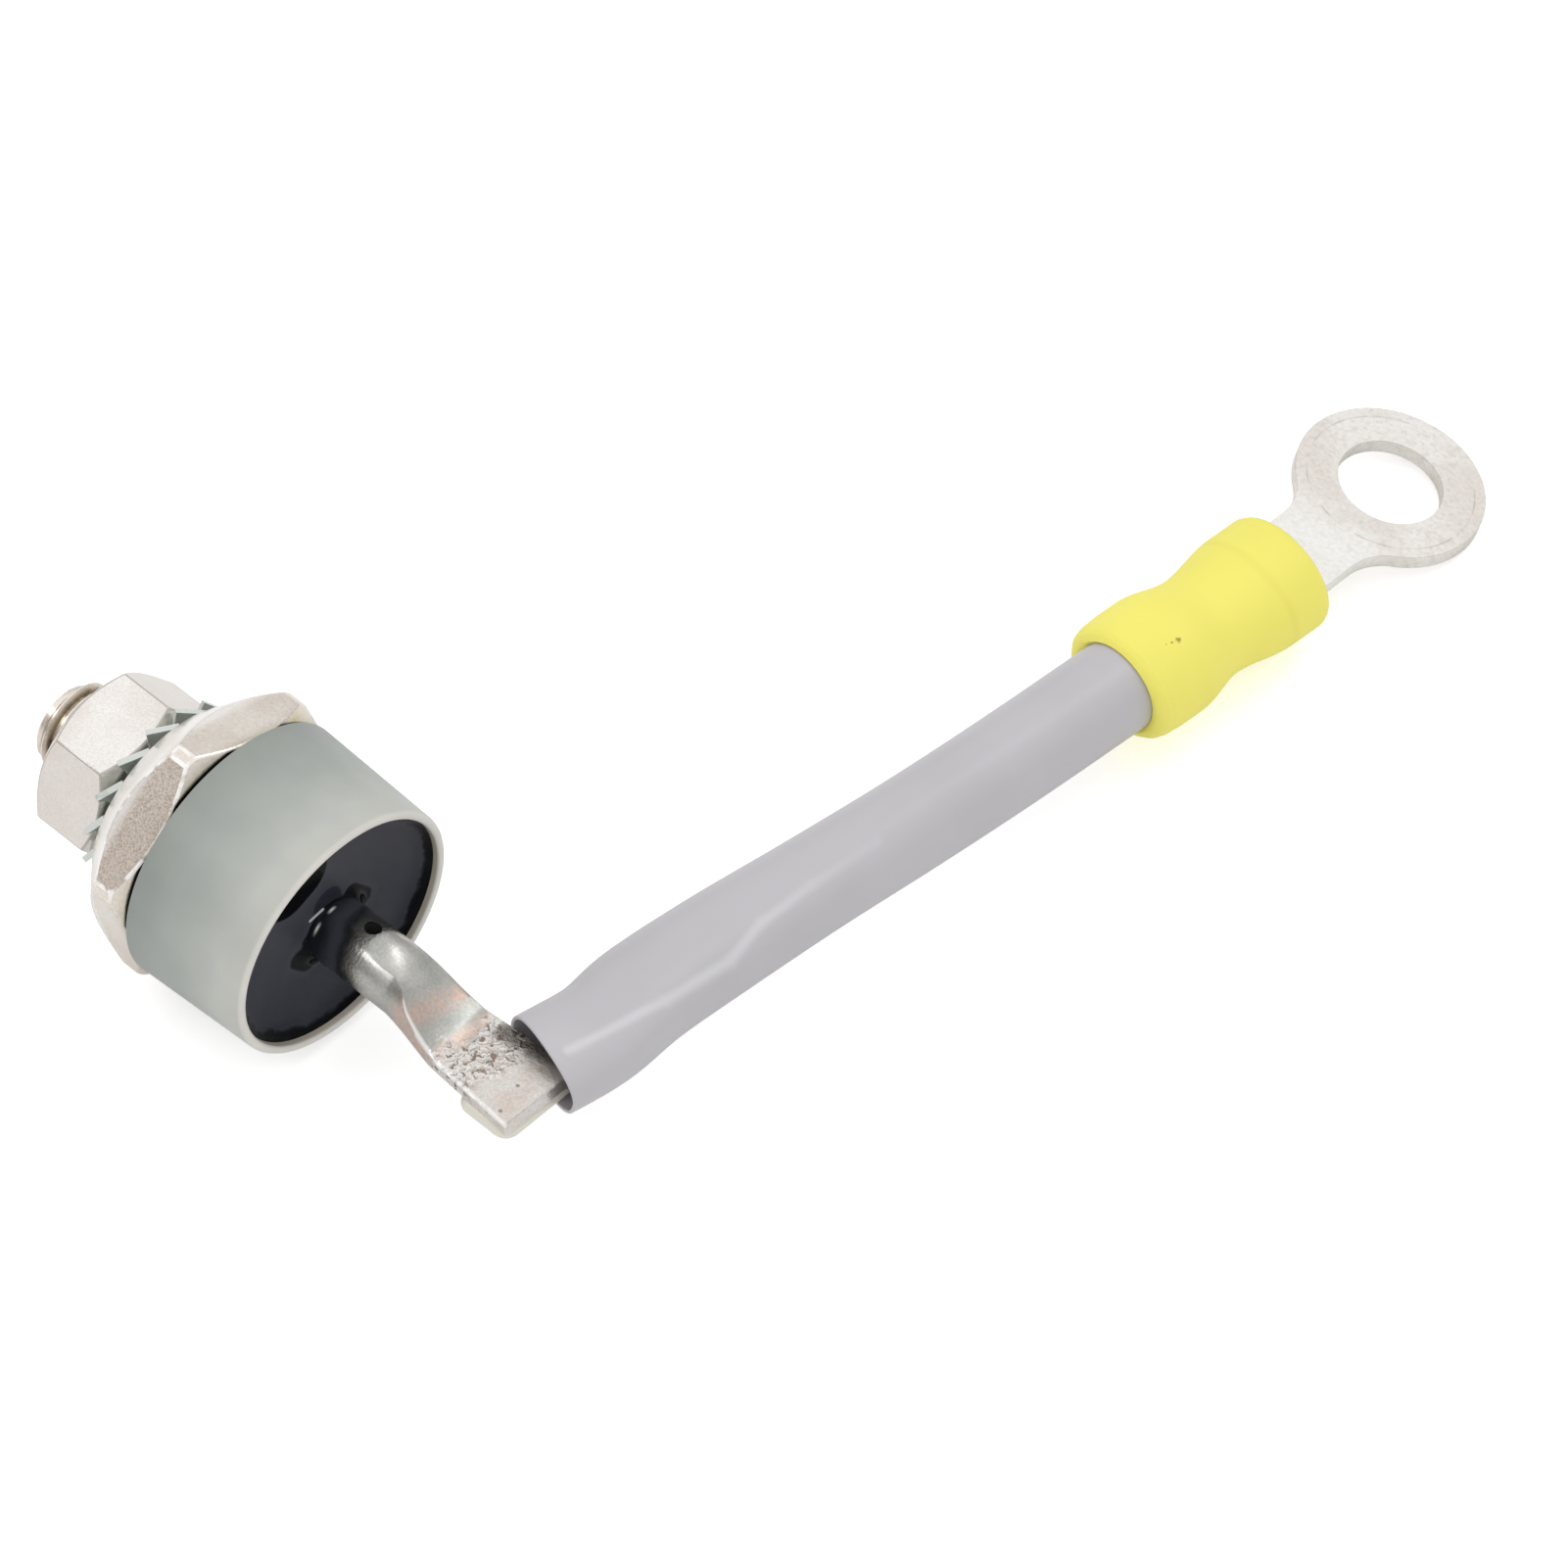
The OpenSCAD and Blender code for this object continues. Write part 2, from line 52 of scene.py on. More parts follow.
# A large face is flat, and so are the faces in its plane.
FLAT_CORNERS = 12
FLAT_AREA = 6.0 * MM**2
SAME_PLANE = 0.99999

Tone = tuple[float, float, float, float]
Pair = tuple[float, float]
Triple = tuple[float, float, float]
Profile = list[Pair]
Socket = bpy.types.NodeSocket
Inputs = bpy.types.NodeInputs
Shape = bmesh.types.BMesh
Edge = bmesh.types.BMEdge
EdgeTest = Callable[[Edge], bool]

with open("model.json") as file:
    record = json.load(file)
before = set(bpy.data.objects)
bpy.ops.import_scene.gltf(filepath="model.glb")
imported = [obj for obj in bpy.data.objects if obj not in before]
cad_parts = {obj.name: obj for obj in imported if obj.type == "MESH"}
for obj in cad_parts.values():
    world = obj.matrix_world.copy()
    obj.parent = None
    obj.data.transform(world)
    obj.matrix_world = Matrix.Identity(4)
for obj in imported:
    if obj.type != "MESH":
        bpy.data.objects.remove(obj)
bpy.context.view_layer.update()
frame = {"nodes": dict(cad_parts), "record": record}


def tint(red: int, green: int, blue: int) -> Tone:
    """Turns screen values into the linear colour that shows as them.

    Args:
        red, green, blue: Values from 0 to 255.

    Returns:
        The colour with full alpha.
    """

    def linear(value: int) -> float:
        """One channel, from screen value to linear light."""
        v = value / 255.0
        return v / 12.92 if v <= 0.04045 else ((v + 0.055) / 1.055) ** 2.4

    return linear(red), linear(green), linear(blue), 1.0


def grey(level: int) -> Tone:
    """A tint without colour."""
    return tint(level, level, level)


def clamp(value: float) -> float:
    """Holds a value between 0 and 1."""
    return min(1.0, max(0.0, value))


def ease(value: float) -> float:
    """Smooth step from 0 to 1, flat at both ends."""
    t = clamp(value)
    return t * t * (3.0 - 2.0 * t)


def blend(first: float, second: float, share: float) -> float:
    """The value a share of the way from first to second."""
    return first + (second - first) * share


def spread(first: float, second: float, steps: int) -> list[float]:
    """Evenly spaced values from first to second, with both of them."""
    return [blend(first, second, i / steps) for i in range(steps + 1)]


def swell(value: float, power: float) -> float:
    """Raises the size of a value to a power and keeps its sign."""
    return math.copysign(abs(value) ** power, value)


def polar(x: float, radius: float, angle: float) -> Vector:
    """A point about the X axis, turned from +Y towards +Z."""
    return Vector((x, radius * math.cos(angle), radius * math.sin(angle)))


def off_axis(place: Vector) -> float:
    """Distance of a point from the X axis."""
    return math.hypot(place.y, place.z)


def along(table: Sequence[Pair], at: float) -> float:
    """Reads a table of (place, value) rows, easing between its rows.

    Args:
        table: Rows in rising order of place.
        at: The place to read.

    Returns:
        The value there, held at the ends.
    """
    if at <= table[0][0]:
        return table[0][1]
    for (x0, y0), (x1, y1) in zip(table, table[1:]):
        if at <= x1:
            return blend(y0, y1, ease((at - x0) / (x1 - x0)))
    return table[-1][1]


def as_mesh(name: str, bm: Shape) -> bpy.types.Mesh:
    """Writes a shape, which is used up, to a new mesh."""
    data = bpy.data.meshes.new(name)
    bm.to_mesh(data)
    bm.free()
    return data


def stand(name: str, data: bpy.types.ID) -> bpy.types.Object:
    """Puts a new object with this data in the scene."""
    item = bpy.data.objects.new(name, data)
    bpy.context.scene.collection.objects.link(item)
    return item


class Effect(Enum):
    """Shared surface effects, each kept as one node group."""

    GRAIN = "Grain"
    BLOTCH = "Blotch"
    SPECK = "Speck"


class Join(Enum):
    """Ways to join two closed meshes."""

    INTERSECT = "INTERSECT"
    DIFFERENCE = "DIFFERENCE"


class Sketch:
    """A node tree with short calls for adding and joining nodes."""

    def __init__(self, tree: bpy.types.NodeTree) -> None:
        """Keeps the tree that the calls work on."""
        self.tree = tree

    def feed(self, socket: Socket, value: object) -> None:
        """Joins a socket to another one, or sets its own value."""
        if isinstance(value, Socket):
            self.tree.links.new(value, socket)
        else:
            socket.default_value = value

    def add(self, kind: str, inputs: dict | None = None, **settings: object) -> bpy.types.Node:
        """Adds a node.

        Args:
            kind: The node's type name.
            inputs: Values or sockets, by input name or index.
            settings: The node's own options.

        Returns:
            The new node.
        """
        node = self.tree.nodes.new(kind)
        for key, value in settings.items():
            setattr(node, key, value)
        for key, value in (inputs or {}).items():
            self.feed(node.inputs[key], value)
        return node

    def place(self) -> Socket:
        """The object's own coordinates."""
        return self.add("ShaderNodeTexCoord").outputs["Object"]

    def parts(self, vector: Socket) -> Sequence[Socket]:
        """The three parts of a vector."""
        return self.add("ShaderNodeSeparateXYZ", {0: vector}).outputs

    def facing(self) -> Sequence[Socket]:
        """The three parts of the direction that the surface looks in."""
        return self.parts(self.add("ShaderNodeNewGeometry").outputs["Normal"])

    def edge(self) -> Socket:
        """The mark on a piece's worn edges."""
        return self.add("ShaderNodeAttribute", attribute_name=EDGE).outputs["Fac"]

    def calc(self, how: str, *values: object) -> Socket:
        """One sum on up to three values."""
        return self.add("ShaderNodeMath", dict(enumerate(values)), operation=how).outputs[0]

    def both(self, *masks: object) -> Socket:
        """The product of several masks or values."""
        found = masks[0]
        for mask in masks[1:]:
            found = self.calc("MULTIPLY", found, mask)
        return found

    def either(self, first: Socket, second: Socket) -> Socket:
        """The stronger of two masks."""
        return self.calc("MAXIMUM", first, second)

    def lift(self, mask: Socket, floor: float) -> Socket:
        """Squeezes a mask so that it starts at a floor."""
        return self.calc("MULTIPLY_ADD", mask, 1.0 - floor, floor)

    def past(self, length: Socket, place: float) -> Socket:
        """Whether a length is over a number of millimetres."""
        return self.calc("GREATER_THAN", length, place * MM)

    def short_of(self, length: Socket, place: float) -> Socket:
        """Whether a length is under a number of millimetres."""
        return self.calc("LESS_THAN", length, place * MM)

    def span(
        self, value: Socket, low: object, high: object, to_low: float = 0.0, to_high: float = 1.0
    ) -> Socket:
        """Maps a range to another one, smoothly and held at the ends."""
        ends = {0: value, 1: low, 2: high, 3: to_low, 4: to_high}
        return self.add("ShaderNodeMapRange", ends, interpolation_type="SMOOTHSTEP").outputs[0]

    def rise(self, length: Socket, low: float, high: float) -> Socket:
        """Grows from 0 to 1 between two places in millimetres."""
        return self.span(length, low * MM, high * MM)

    def fall(
        self, length: Socket, low: float, high: float, top: float = 1.0, rest: float = 0.0
    ) -> Socket:
        """Goes from a top to a rest between two places in millimetres."""
        return self.span(length, low * MM, high * MM, top, rest)

    def band(self, length: Socket, middle: float, half: float) -> Socket:
        """A soft band about a place in millimetres."""
        off = self.calc("ABSOLUTE", self.calc("SUBTRACT", length, middle * MM))
        return self.fall(off, 0.0, half)

    def roughen(self, length: Socket, grain: Socket, depth: float) -> Socket:
        """Moves a length by a grain, at most by a depth in millimetres."""
        return self.calc("MULTIPLY_ADD", grain, depth * MM, length)

    def mix(self, share: object, first: object, second: object, how: str = "MIX") -> Socket:
        """Mixes two colours by a share."""
        inputs = {0: share, 6: first, 7: second}
        return self.add("ShaderNodeMix", inputs, data_type="RGBA", blend_type=how).outputs[2]

    def lay(self, base: object, colour: object, *masks: Socket, share: float = 1.0) -> Socket:
        """Lays a colour on another one where all masks show, at most by a share."""
        mask = self.both(*masks)
        if share < 1.0:
            mask = self.both(mask, share)
        return self.mix(mask, base, colour)

    def shade(self, tone: object, mask: Socket, dark: Tone) -> Socket:
        """Multiplies a tone by another one where a mask is low."""
        return self.mix(1.0, tone, self.mix(mask, dark, grey(255)), "MULTIPLY")

    def ramp(self, value: Socket, stops: Sequence[tuple[float, Tone]]) -> Socket:
        """Colours a value by stops of (place, colour)."""
        node = self.add("ShaderNodeValToRGB", {0: value})
        marks = node.color_ramp.elements
        while len(marks) < len(stops):
            marks.new(0.5)
        for mark, (spot, colour) in zip(marks, stops):
            mark.position = spot
            mark.color = colour
        return node.outputs[0]

    def effect(self, which: Effect, inputs: dict) -> Socket:
        """Adds one of the shared effects and gives its mask."""
        return self.add("ShaderNodeGroup", inputs, node_tree=SHELF.get(which)).outputs[0]

    def grain(self, at: Socket, scale: float) -> Socket:
        """Fine even grain."""
        return self.effect(Effect.GRAIN, {"Vector": at, "Scale": scale})

    def blotch(self, at: Socket, scale: float, cover: float, soft: float) -> Socket:
        """Soft patches on a share of the surface."""
        inputs = {"Vector": at, "Scale": scale, "Cover": cover, "Soft": soft}
        return self.effect(Effect.BLOTCH, inputs)

    def specks(self, at: Socket, scale: float, size: float, share: float) -> Socket:
        """Small dots in a share of the cells."""
        inputs = {"Vector": at, "Scale": scale, "Size": size, "Share": share}
        return self.effect(Effect.SPECK, inputs)

    def bump(self, height: Socket, strength: float, depth: float) -> Socket:
        """A normal from a height, with the depth in millimetres."""
        inputs = {"Height": height, "Strength": strength, "Distance": depth * MM}
        return self.add("ShaderNodeBump", inputs).outputs[0]

    def vector(self, how: str, first: object, second: object) -> bpy.types.Node:
        """One sum on two vectors."""
        return self.add("ShaderNodeVectorMath", {0: first, 1: second}, operation=how)

    def away(self, vector: Socket, spot: Vector) -> Socket:
        """Distance from a point given in millimetres."""
        return self.vector("DISTANCE", vector, spot * MM).outputs["Value"]

    def flat(self, vector: Socket, kept: Triple = (0.0, 1.0, 1.0)) -> Socket:
        """A place with only some parts kept, or else as seen along the diode's axis."""
        return self.vector("MULTIPLY", vector, kept).outputs[0]

    def radius(self, vector: Socket) -> Socket:
        """Distance from the diode's axis."""
        return self.away(self.flat(vector), HEART)

    def line(self, vector: Socket, first: Vector, second: Vector) -> Socket:
        """Distance from a straight stretch between two points."""
        run = (second - first) * MM
        gone = self.vector("SUBTRACT", vector, first * MM).outputs[0]
        share = self.vector("DOT_PRODUCT", gone, run / run.length_squared)
        held = self.calc("MINIMUM", 1.0, self.calc("MAXIMUM", 0.0, share.outputs["Value"]))
        near = self.add("ShaderNodeVectorMath", {0: run, "Scale": held}, operation="SCALE")
        return self.vector("DISTANCE", gone, near.outputs[0]).outputs["Value"]


class EffectShelf:
    """Builds each shared effect once and hands it out."""

    def __init__(self) -> None:
        """Starts with nothing built."""
        self.made: dict[Effect, bpy.types.NodeTree] = {}

    def get(self, which: Effect) -> bpy.types.NodeTree:
        """The node group of an effect, built at its first use."""
        if which not in self.made:
            makers = {Effect.GRAIN: self.grain, Effect.BLOTCH: self.blotch, Effect.SPECK: self.speck}
            tree = bpy.data.node_groups.new(which.value, "ShaderNodeTree")
            makers[which](tree)
            self.made[which] = tree
        return self.made[which]

    @staticmethod
    def start(tree: bpy.types.NodeTree, *values: str) -> tuple[Sketch, Sequence[Socket]]:
        """Gives a group its vector, its values and its one mask.

        Args:
            tree: The group.
            values: Names of the values.

        Returns:
            A sketch on the group, and the sockets of what it is given.
        """
        face = tree.interface
        face.new_socket("Vector", in_out="INPUT", socket_type="NodeSocketVector")
        for name in values:
            face.new_socket(name, in_out="INPUT", socket_type="NodeSocketFloat")
        face.new_socket("Mask", in_out="OUTPUT", socket_type="NodeSocketFloat")
        sketch = Sketch(tree)
        return sketch, sketch.add("NodeGroupInput").outputs

    def grain(self, tree: bpy.types.NodeTree) -> None:
        """Fine even grain from 0 to 1."""
        s, given = self.start(tree, "Scale")
        inputs = {"Vector": given["Vector"], "Scale": given["Scale"], "Detail": 3.0}
        noise = s.add("ShaderNodeTexNoise", inputs)
        s.add("NodeGroupOutput", {0: s.span(noise.outputs[0], low=0.3, high=0.7)})

    def blotch(self, tree: bpy.types.NodeTree) -> None:
        """Soft patches that cover a share of the surface.

        The noise lies about 0.5, so full cover starts at 0.25 and none at 0.75.
        """
        s, given = self.start(tree, "Scale", "Cover", "Soft")
        inputs = {"Vector": given["Vector"], "Scale": given["Scale"]}
        noise = s.add("ShaderNodeTexNoise", {**inputs, "Detail": 4.0, "Distortion": 0.4})
        edge = s.calc("MULTIPLY_ADD", given["Cover"], -0.5, 0.75)
        low = s.calc("SUBTRACT", edge, given["Soft"])
        high = s.calc("ADD", edge, given["Soft"])
        s.add("NodeGroupOutput", {0: s.span(noise.outputs[0], low, high)})

    def speck(self, tree: bpy.types.NodeTree) -> None:
        """Scattered small dots on a share of the cells."""
        s, given = self.start(tree, "Scale", "Size", "Share")
        inputs = {"Vector": given["Vector"], "Scale": given["Scale"]}
        cells = s.add("ShaderNodeTexVoronoi", inputs).outputs
        dot = s.calc("LESS_THAN", cells["Distance"], given["Size"])
        pick = s.add("ShaderNodeSeparateColor", {0: cells["Color"]})
        kept = s.calc("LESS_THAN", pick.outputs[0], given["Share"])
        s.add("NodeGroupOutput", {0: s.both(dot, kept)})


SHELF = EffectShelf()


@dataclass(frozen=True)
class Finish:
    """A surface: its colour, how rough it is and whether it is metal."""

    name: str
    colour: Tone
    roughness: float = 0.5
    metallic: float = 0.0
    specular: float = 0.5

    def material(self) -> bpy.types.Material:
        """Makes the material.

        Returns:
            The material with its surface painted.
        """
        made = bpy.data.materials.new(self.name)
        made.use_nodes = True
        made.diffuse_color = self.colour
        to = made.node_tree.nodes["Principled BSDF"].inputs
        to["Base Color"].default_value = self.colour
        to["Roughness"].default_value = self.roughness
        to["Metallic"].default_value = self.metallic
        to["Specular IOR Level"].default_value = self.specular
        self.paint(Sketch(made.node_tree), to)
        return made

    def paint(self, s: Sketch, to: Inputs) -> None:
        """A plain finish has nothing more on it."""


@dataclass(frozen=True)
class PlatedMetal(Finish):
    """Plated metal with faint tarnish, fine grain and an edge tone: wear, and a painted edge
    highlight where the tone is pale.
    """

    dull: Tone = tint(214, 200, 186)
    cover: float = 0.45
    pit: Tone = tint(150, 128, 112)
    pits: float = 0.0
    # Edge tone: wear, and a painted highlight where it is pale.
    edge_tone: Tone = tint(254, 253, 252)
    edge_cover: float = 0.95
    edge_mark: float = 1.0
    polish: float = 0.1
    uneven: Pair = (-0.03, 0.05)
    grain: Tone = tint(242, 241, 240)

    def tone(self, s: Sketch, at: Socket) -> Socket:
        """The plate's colour away from its edges."""
        patch = s.blotch(at, scale=240.0, cover=self.cover, soft=0.16)
        base = s.lay(self.colour, self.dull, patch, share=0.7)
        dots = s.blotch(at, scale=4600.0, cover=0.34, soft=0.06)
        return s.lay(base, self.pit, dots, share=self.pits)

    def edge_tone_mask(self, s: Sketch, at: Socket) -> Socket:
        """Where the edge tone goes: on the edges, not quite evenly, for wear and painted highlight.
        """
        edge_breaks = s.blotch(at, scale=1100.0, cover=self.edge_cover, soft=0.1)
        return s.both(s.edge(), edge_breaks, self.edge_mark)

    def paint(self, s: Sketch, to: Inputs) -> None:
        """Tarnish and grain, with the edge tone on the edges: wear, and a painted highlight where it
        is pale.
        """
        at = s.place()
        fine = s.grain(at, scale=7000.0)
        bright = self.edge_tone_mask(s, at)
        base = s.shade(self.tone(s, at), fine, self.grain)
        # A pale edge tone with less metal is a painted highlight on the edges.
        s.feed(to["Base Color"], s.lay(base, self.edge_tone, bright))
        s.feed(to["Metallic"], s.calc("MULTIPLY_ADD", bright, -self.metallic, self.metallic))
        rough = s.span(fine, 0.0, 1.0, *(self.roughness + more for more in self.uneven))
        s.feed(to["Roughness"], s.calc("MULTIPLY_ADD", bright, -self.polish, rough))
        s.feed(to["Normal"], s.bump(fine, strength=0.08, depth=0.02))


@dataclass(frozen=True)
class StudPlate(PlatedMetal):
    """Nickel plate with a dirty thread, a painted olive reflection on its front, a painted shadow
    line at the joint and painted shade on its left facet.

    A pair is where a mark starts and stops: by radius for the groove and the
    joint's painted shadow, by y for left, by z for upper, by the way a facet
    looks for the leans, and by x for the rest.
    """

    groove: Pair = (2.6, 2.95)
    free: Pair = (-19.9, -17.4)
    front: Pair = (-6.7, -5.8)
    rear: Pair = (-9.0, -8.2)
    rear_face: float = -11.2
    joint_shadow: Pair = (8.84, 8.98)
    joint_face: float = -7.0
    joint_lean: float = 0.6
    facet_lean_y: Pair = (-0.66, -0.5)
    facet_lean_z: Pair = (0.5, 0.66)
    left: Pair = (-2.2, -1.4)
    upper: Pair = (11.6, 12.6)
    earth: Tone = tint(176, 162, 138)
    dirt: Tone = tint(104, 84, 70)
    olive_reflection: Tone = tint(188, 180, 156)
    # Black for the painted shadow line in the joint.
    gap: Tone = tint(20, 18, 15)
    left_facet_shade: Tone = tint(204, 189, 176)
    speck: Tone = tint(140, 122, 108)

    def edge_tone_mask(self, s: Sketch, at: Socket) -> Socket:
        """Paints the highlight most on the upper left edges, and adds a painted highlight on the
        cone at the rear.
        """
        x, y, z = s.parts(at)
        # Painted highlight: the upper left edges get the pale edge tone most.
        lit_upper_left = s.both(s.fall(y, *self.left), s.rise(z, *self.upper))
        edges = s.both(super().edge_tone_mask(s, at), s.lift(lit_upper_left, floor=0.2))
        # Painted highlight: the turned cone at the rear is made paler.
        turned = s.both(s.fall(x, *self.rear, top=0.5), s.past(x, self.rear_face))
        return s.either(edges, turned)

    def tone(self, s: Sketch, at: Socket) -> Socket:
        """Adds a brown thread, a painted olive reflection on the front, the joint's painted shadow
        line and painted shade with specks on the left facet.
        """
        base = super().tone(s, at)
        x = s.parts(at)[0]
        radius = s.radius(at)
        free = s.both(s.past(x, self.free[0]), s.short_of(x, self.free[1]))
        earth = s.lay(self.earth, self.dirt, s.blotch(at, scale=900.0, cover=0.4, soft=0.1))
        base = s.lay(base, earth, s.fall(radius, *self.groove), free, share=0.9)
        # Painted reflection: the front chamfer takes the olive of the housing it would mirror.
        base = s.lay(base, self.olive_reflection, s.rise(x, *self.front), share=0.65)
        lean_x, lean_y, lean_z = s.facing()
        ahead = s.calc("GREATER_THAN", lean_x, self.joint_lean)
        # Painted shadow: a black line on the chamfer beside the housing, where shade falls in the
        # joint.
        base = s.lay(base, self.gap, s.fall(radius, *self.joint_shadow), ahead, s.past(x, self.joint_face))
        # Painted shade: the facet that looks left is duller, with specks.
        left = s.span(lean_y, *self.facet_lean_y, 1.0, 0.0)
        facet = s.both(left, s.span(lean_z, *self.facet_lean_z))
        base = s.lay(base, self.left_facet_shade, facet, share=0.6)
        specks = s.blotch(at, scale=8000.0, cover=0.42, soft=0.1)
        return s.lay(base, self.speck, facet, specks, share=0.5)


@dataclass(frozen=True)
class NutPlate(PlatedMetal):
    """Bright plate with painted shade on the nut's side facets."""

    # Painted shade for the side facets.
    side: Tone = tint(220, 211, 204)
    side_lean: Pair = (0.55, 0.7)

    def tone(self, s: Sketch, at: Socket) -> Socket:
        """Adds a rosy grey, a painted shade, to the facets that look sideways."""
        side = s.span(s.calc("ABSOLUTE", s.facing()[1]), *self.side_lean)
        return s.lay(super().tone(s, at), self.side, side, share=0.6)


@dataclass(frozen=True)
class HousingPlastic(Finish):
    """Grey moulded cup, paler towards its rim and warm inside.

    The wall is stops of (share of the way between the ends, tone).
    """

    ends: Pair = (-5.75, 3.65)
    wall: tuple[tuple[float, Tone], ...] = (
        (0.0, tint(150, 155, 149)),
        (0.16, tint(157, 162, 157)),
        (0.32, tint(166, 171, 166)),
        (0.46, tint(171, 176, 170)),
        (0.62, tint(181, 185, 178)),
        (0.8, tint(193, 195, 188)),
        (0.97, tint(198, 199, 190)),
        (1.0, tint(234, 231, 223)),
    )
    bore: Pair = (8.14, 8.2)
    inside: Tone = tint(186, 172, 154)
    mottle: Tone = tint(247, 247, 249)

    def paint(self, s: Sketch, to: Inputs) -> None:
        """A tone that runs along the axis, with faint mottling."""
        at = s.place()
        low, high = (end * MM for end in self.ends)
        share = s.add("ShaderNodeMapRange", {0: s.parts(at)[0], 1: low, 2: high}).outputs[0]
        tone = s.ramp(share, self.wall)
        tone = s.lay(tone, self.inside, s.fall(s.radius(at), *self.bore), share=0.7)
        s.feed(to["Base Color"], s.shade(tone, s.grain(at, scale=330.0), self.mottle))
        s.feed(to["Normal"], s.bump(s.grain(at, scale=2400.0), strength=0.12, depth=0.02))


@dataclass(frozen=True)
class PottingResin(Finish):
    """Black cast resin: a dull skin with wet folds and a wet rim.

    Each fold is a stretch from (y, z) to (y, z) about the axis and a radius,
    and the dome, with its painted dark reflection, is a (y, z) and a radius.
    """

    folds: tuple[tuple[float, float, float, float, float], ...] = (
        (1.6, 1.6, 2.6, 0.3, 0.72),
        (-2.2, 0.5, -2.4, -1.0, 0.25),
        (-2.8, -0.75, -2.0, -1.75, 0.68),
        (-2.27, 6.39, -3.27, 5.98, 2.0),
    )
    merge: float = 0.6
    dome: Triple = (-0.3, 2.5, 1.25)
    dome_edge: float = 0.2
    highlight_dash: tuple[Pair, Pair] = ((-0.75, 2.2), (-1.75, 2.0))
    collar: float = 2.3
    rim: Pair = (7.6, 7.95)
    heights: Pair = (3.0, 16.0)
    dullness: float = 0.32
    low_film: Tone = tint(47, 49, 58)
    high_film: Tone = tint(66, 67, 74)
    cloud: Tone = tint(76, 76, 82)
    halo: Tone = tint(84, 85, 90)
    dome_reflection: Tone = tint(33, 35, 45)
    # Tone of the dust and of the painted highlight dash.
    pale_flecks: Tone = tint(196, 194, 196)

    def skin(self, s: Sketch, flat: Socket, gap: Socket) -> Socket:
        """The dull skin's own colour, paler about the folds, with a painted dark reflection of the
        post on the dome.
        """
        at = s.place()
        film = s.lay(self.low_film, self.high_film, s.rise(s.parts(at)[2], *self.heights))
        cloud = s.blotch(at, scale=130.0, cover=0.5, soft=0.25)
        film = s.lay(film, self.cloud, cloud, share=0.4)
        film = s.lay(film, self.halo, s.fall(gap, low=0.1, high=0.9), share=0.2)
        # Painted reflection: a dark disc where the post would be mirrored.
        y, z, size = self.dome
        off = s.away(flat, HEART + Vector((0.0, y, z)))
        return s.lay(film, self.dome_reflection, s.fall(off, size - self.dome_edge, size, top=0.8))

    def paint(self, s: Sketch, to: Inputs) -> None:
        """A dull skin that stops at the rim and the folds, dust, and a painted highlight dash."""
        at = s.place()
        flat = s.flat(at)
        radius = s.radius(at)
        gap = s.calc("SUBTRACT", radius, self.collar * MM)
        for y0, z0, y1, z1, size in self.folds:
            stretch = s.line(flat, HEART + Vector((0.0, y0, z0)), HEART + Vector((0.0, y1, z1)))
            off = s.calc("SUBTRACT", stretch, size * MM)
            gap = s.calc("SMOOTH_MIN", gap, off, self.merge * MM)
        ragged = s.roughen(radius, s.grain(at, scale=800.0), depth=0.3)
        skin = s.both(s.fall(ragged, *self.rim), s.rise(gap, low=-0.05, high=0.15))
        base = s.lay(self.colour, self.skin(s, flat, gap), skin)
        # Painted highlight: a pale dash on the resin by the post.
        first, second = (HEART + Vector((0.0, y, z)) for y, z in self.highlight_dash)
        highlight_dash = s.fall(s.line(flat, first, second), low=0.08, high=0.16)
        pale_flecks = s.specks(at, scale=620.0, size=0.11, share=0.06)
        s.feed(to["Base Color"], s.lay(base, self.pale_flecks, s.either(pale_flecks, highlight_dash)))
        s.feed(to["Roughness"], s.span(skin, 0.0, 1.0, self.roughness, self.dullness))


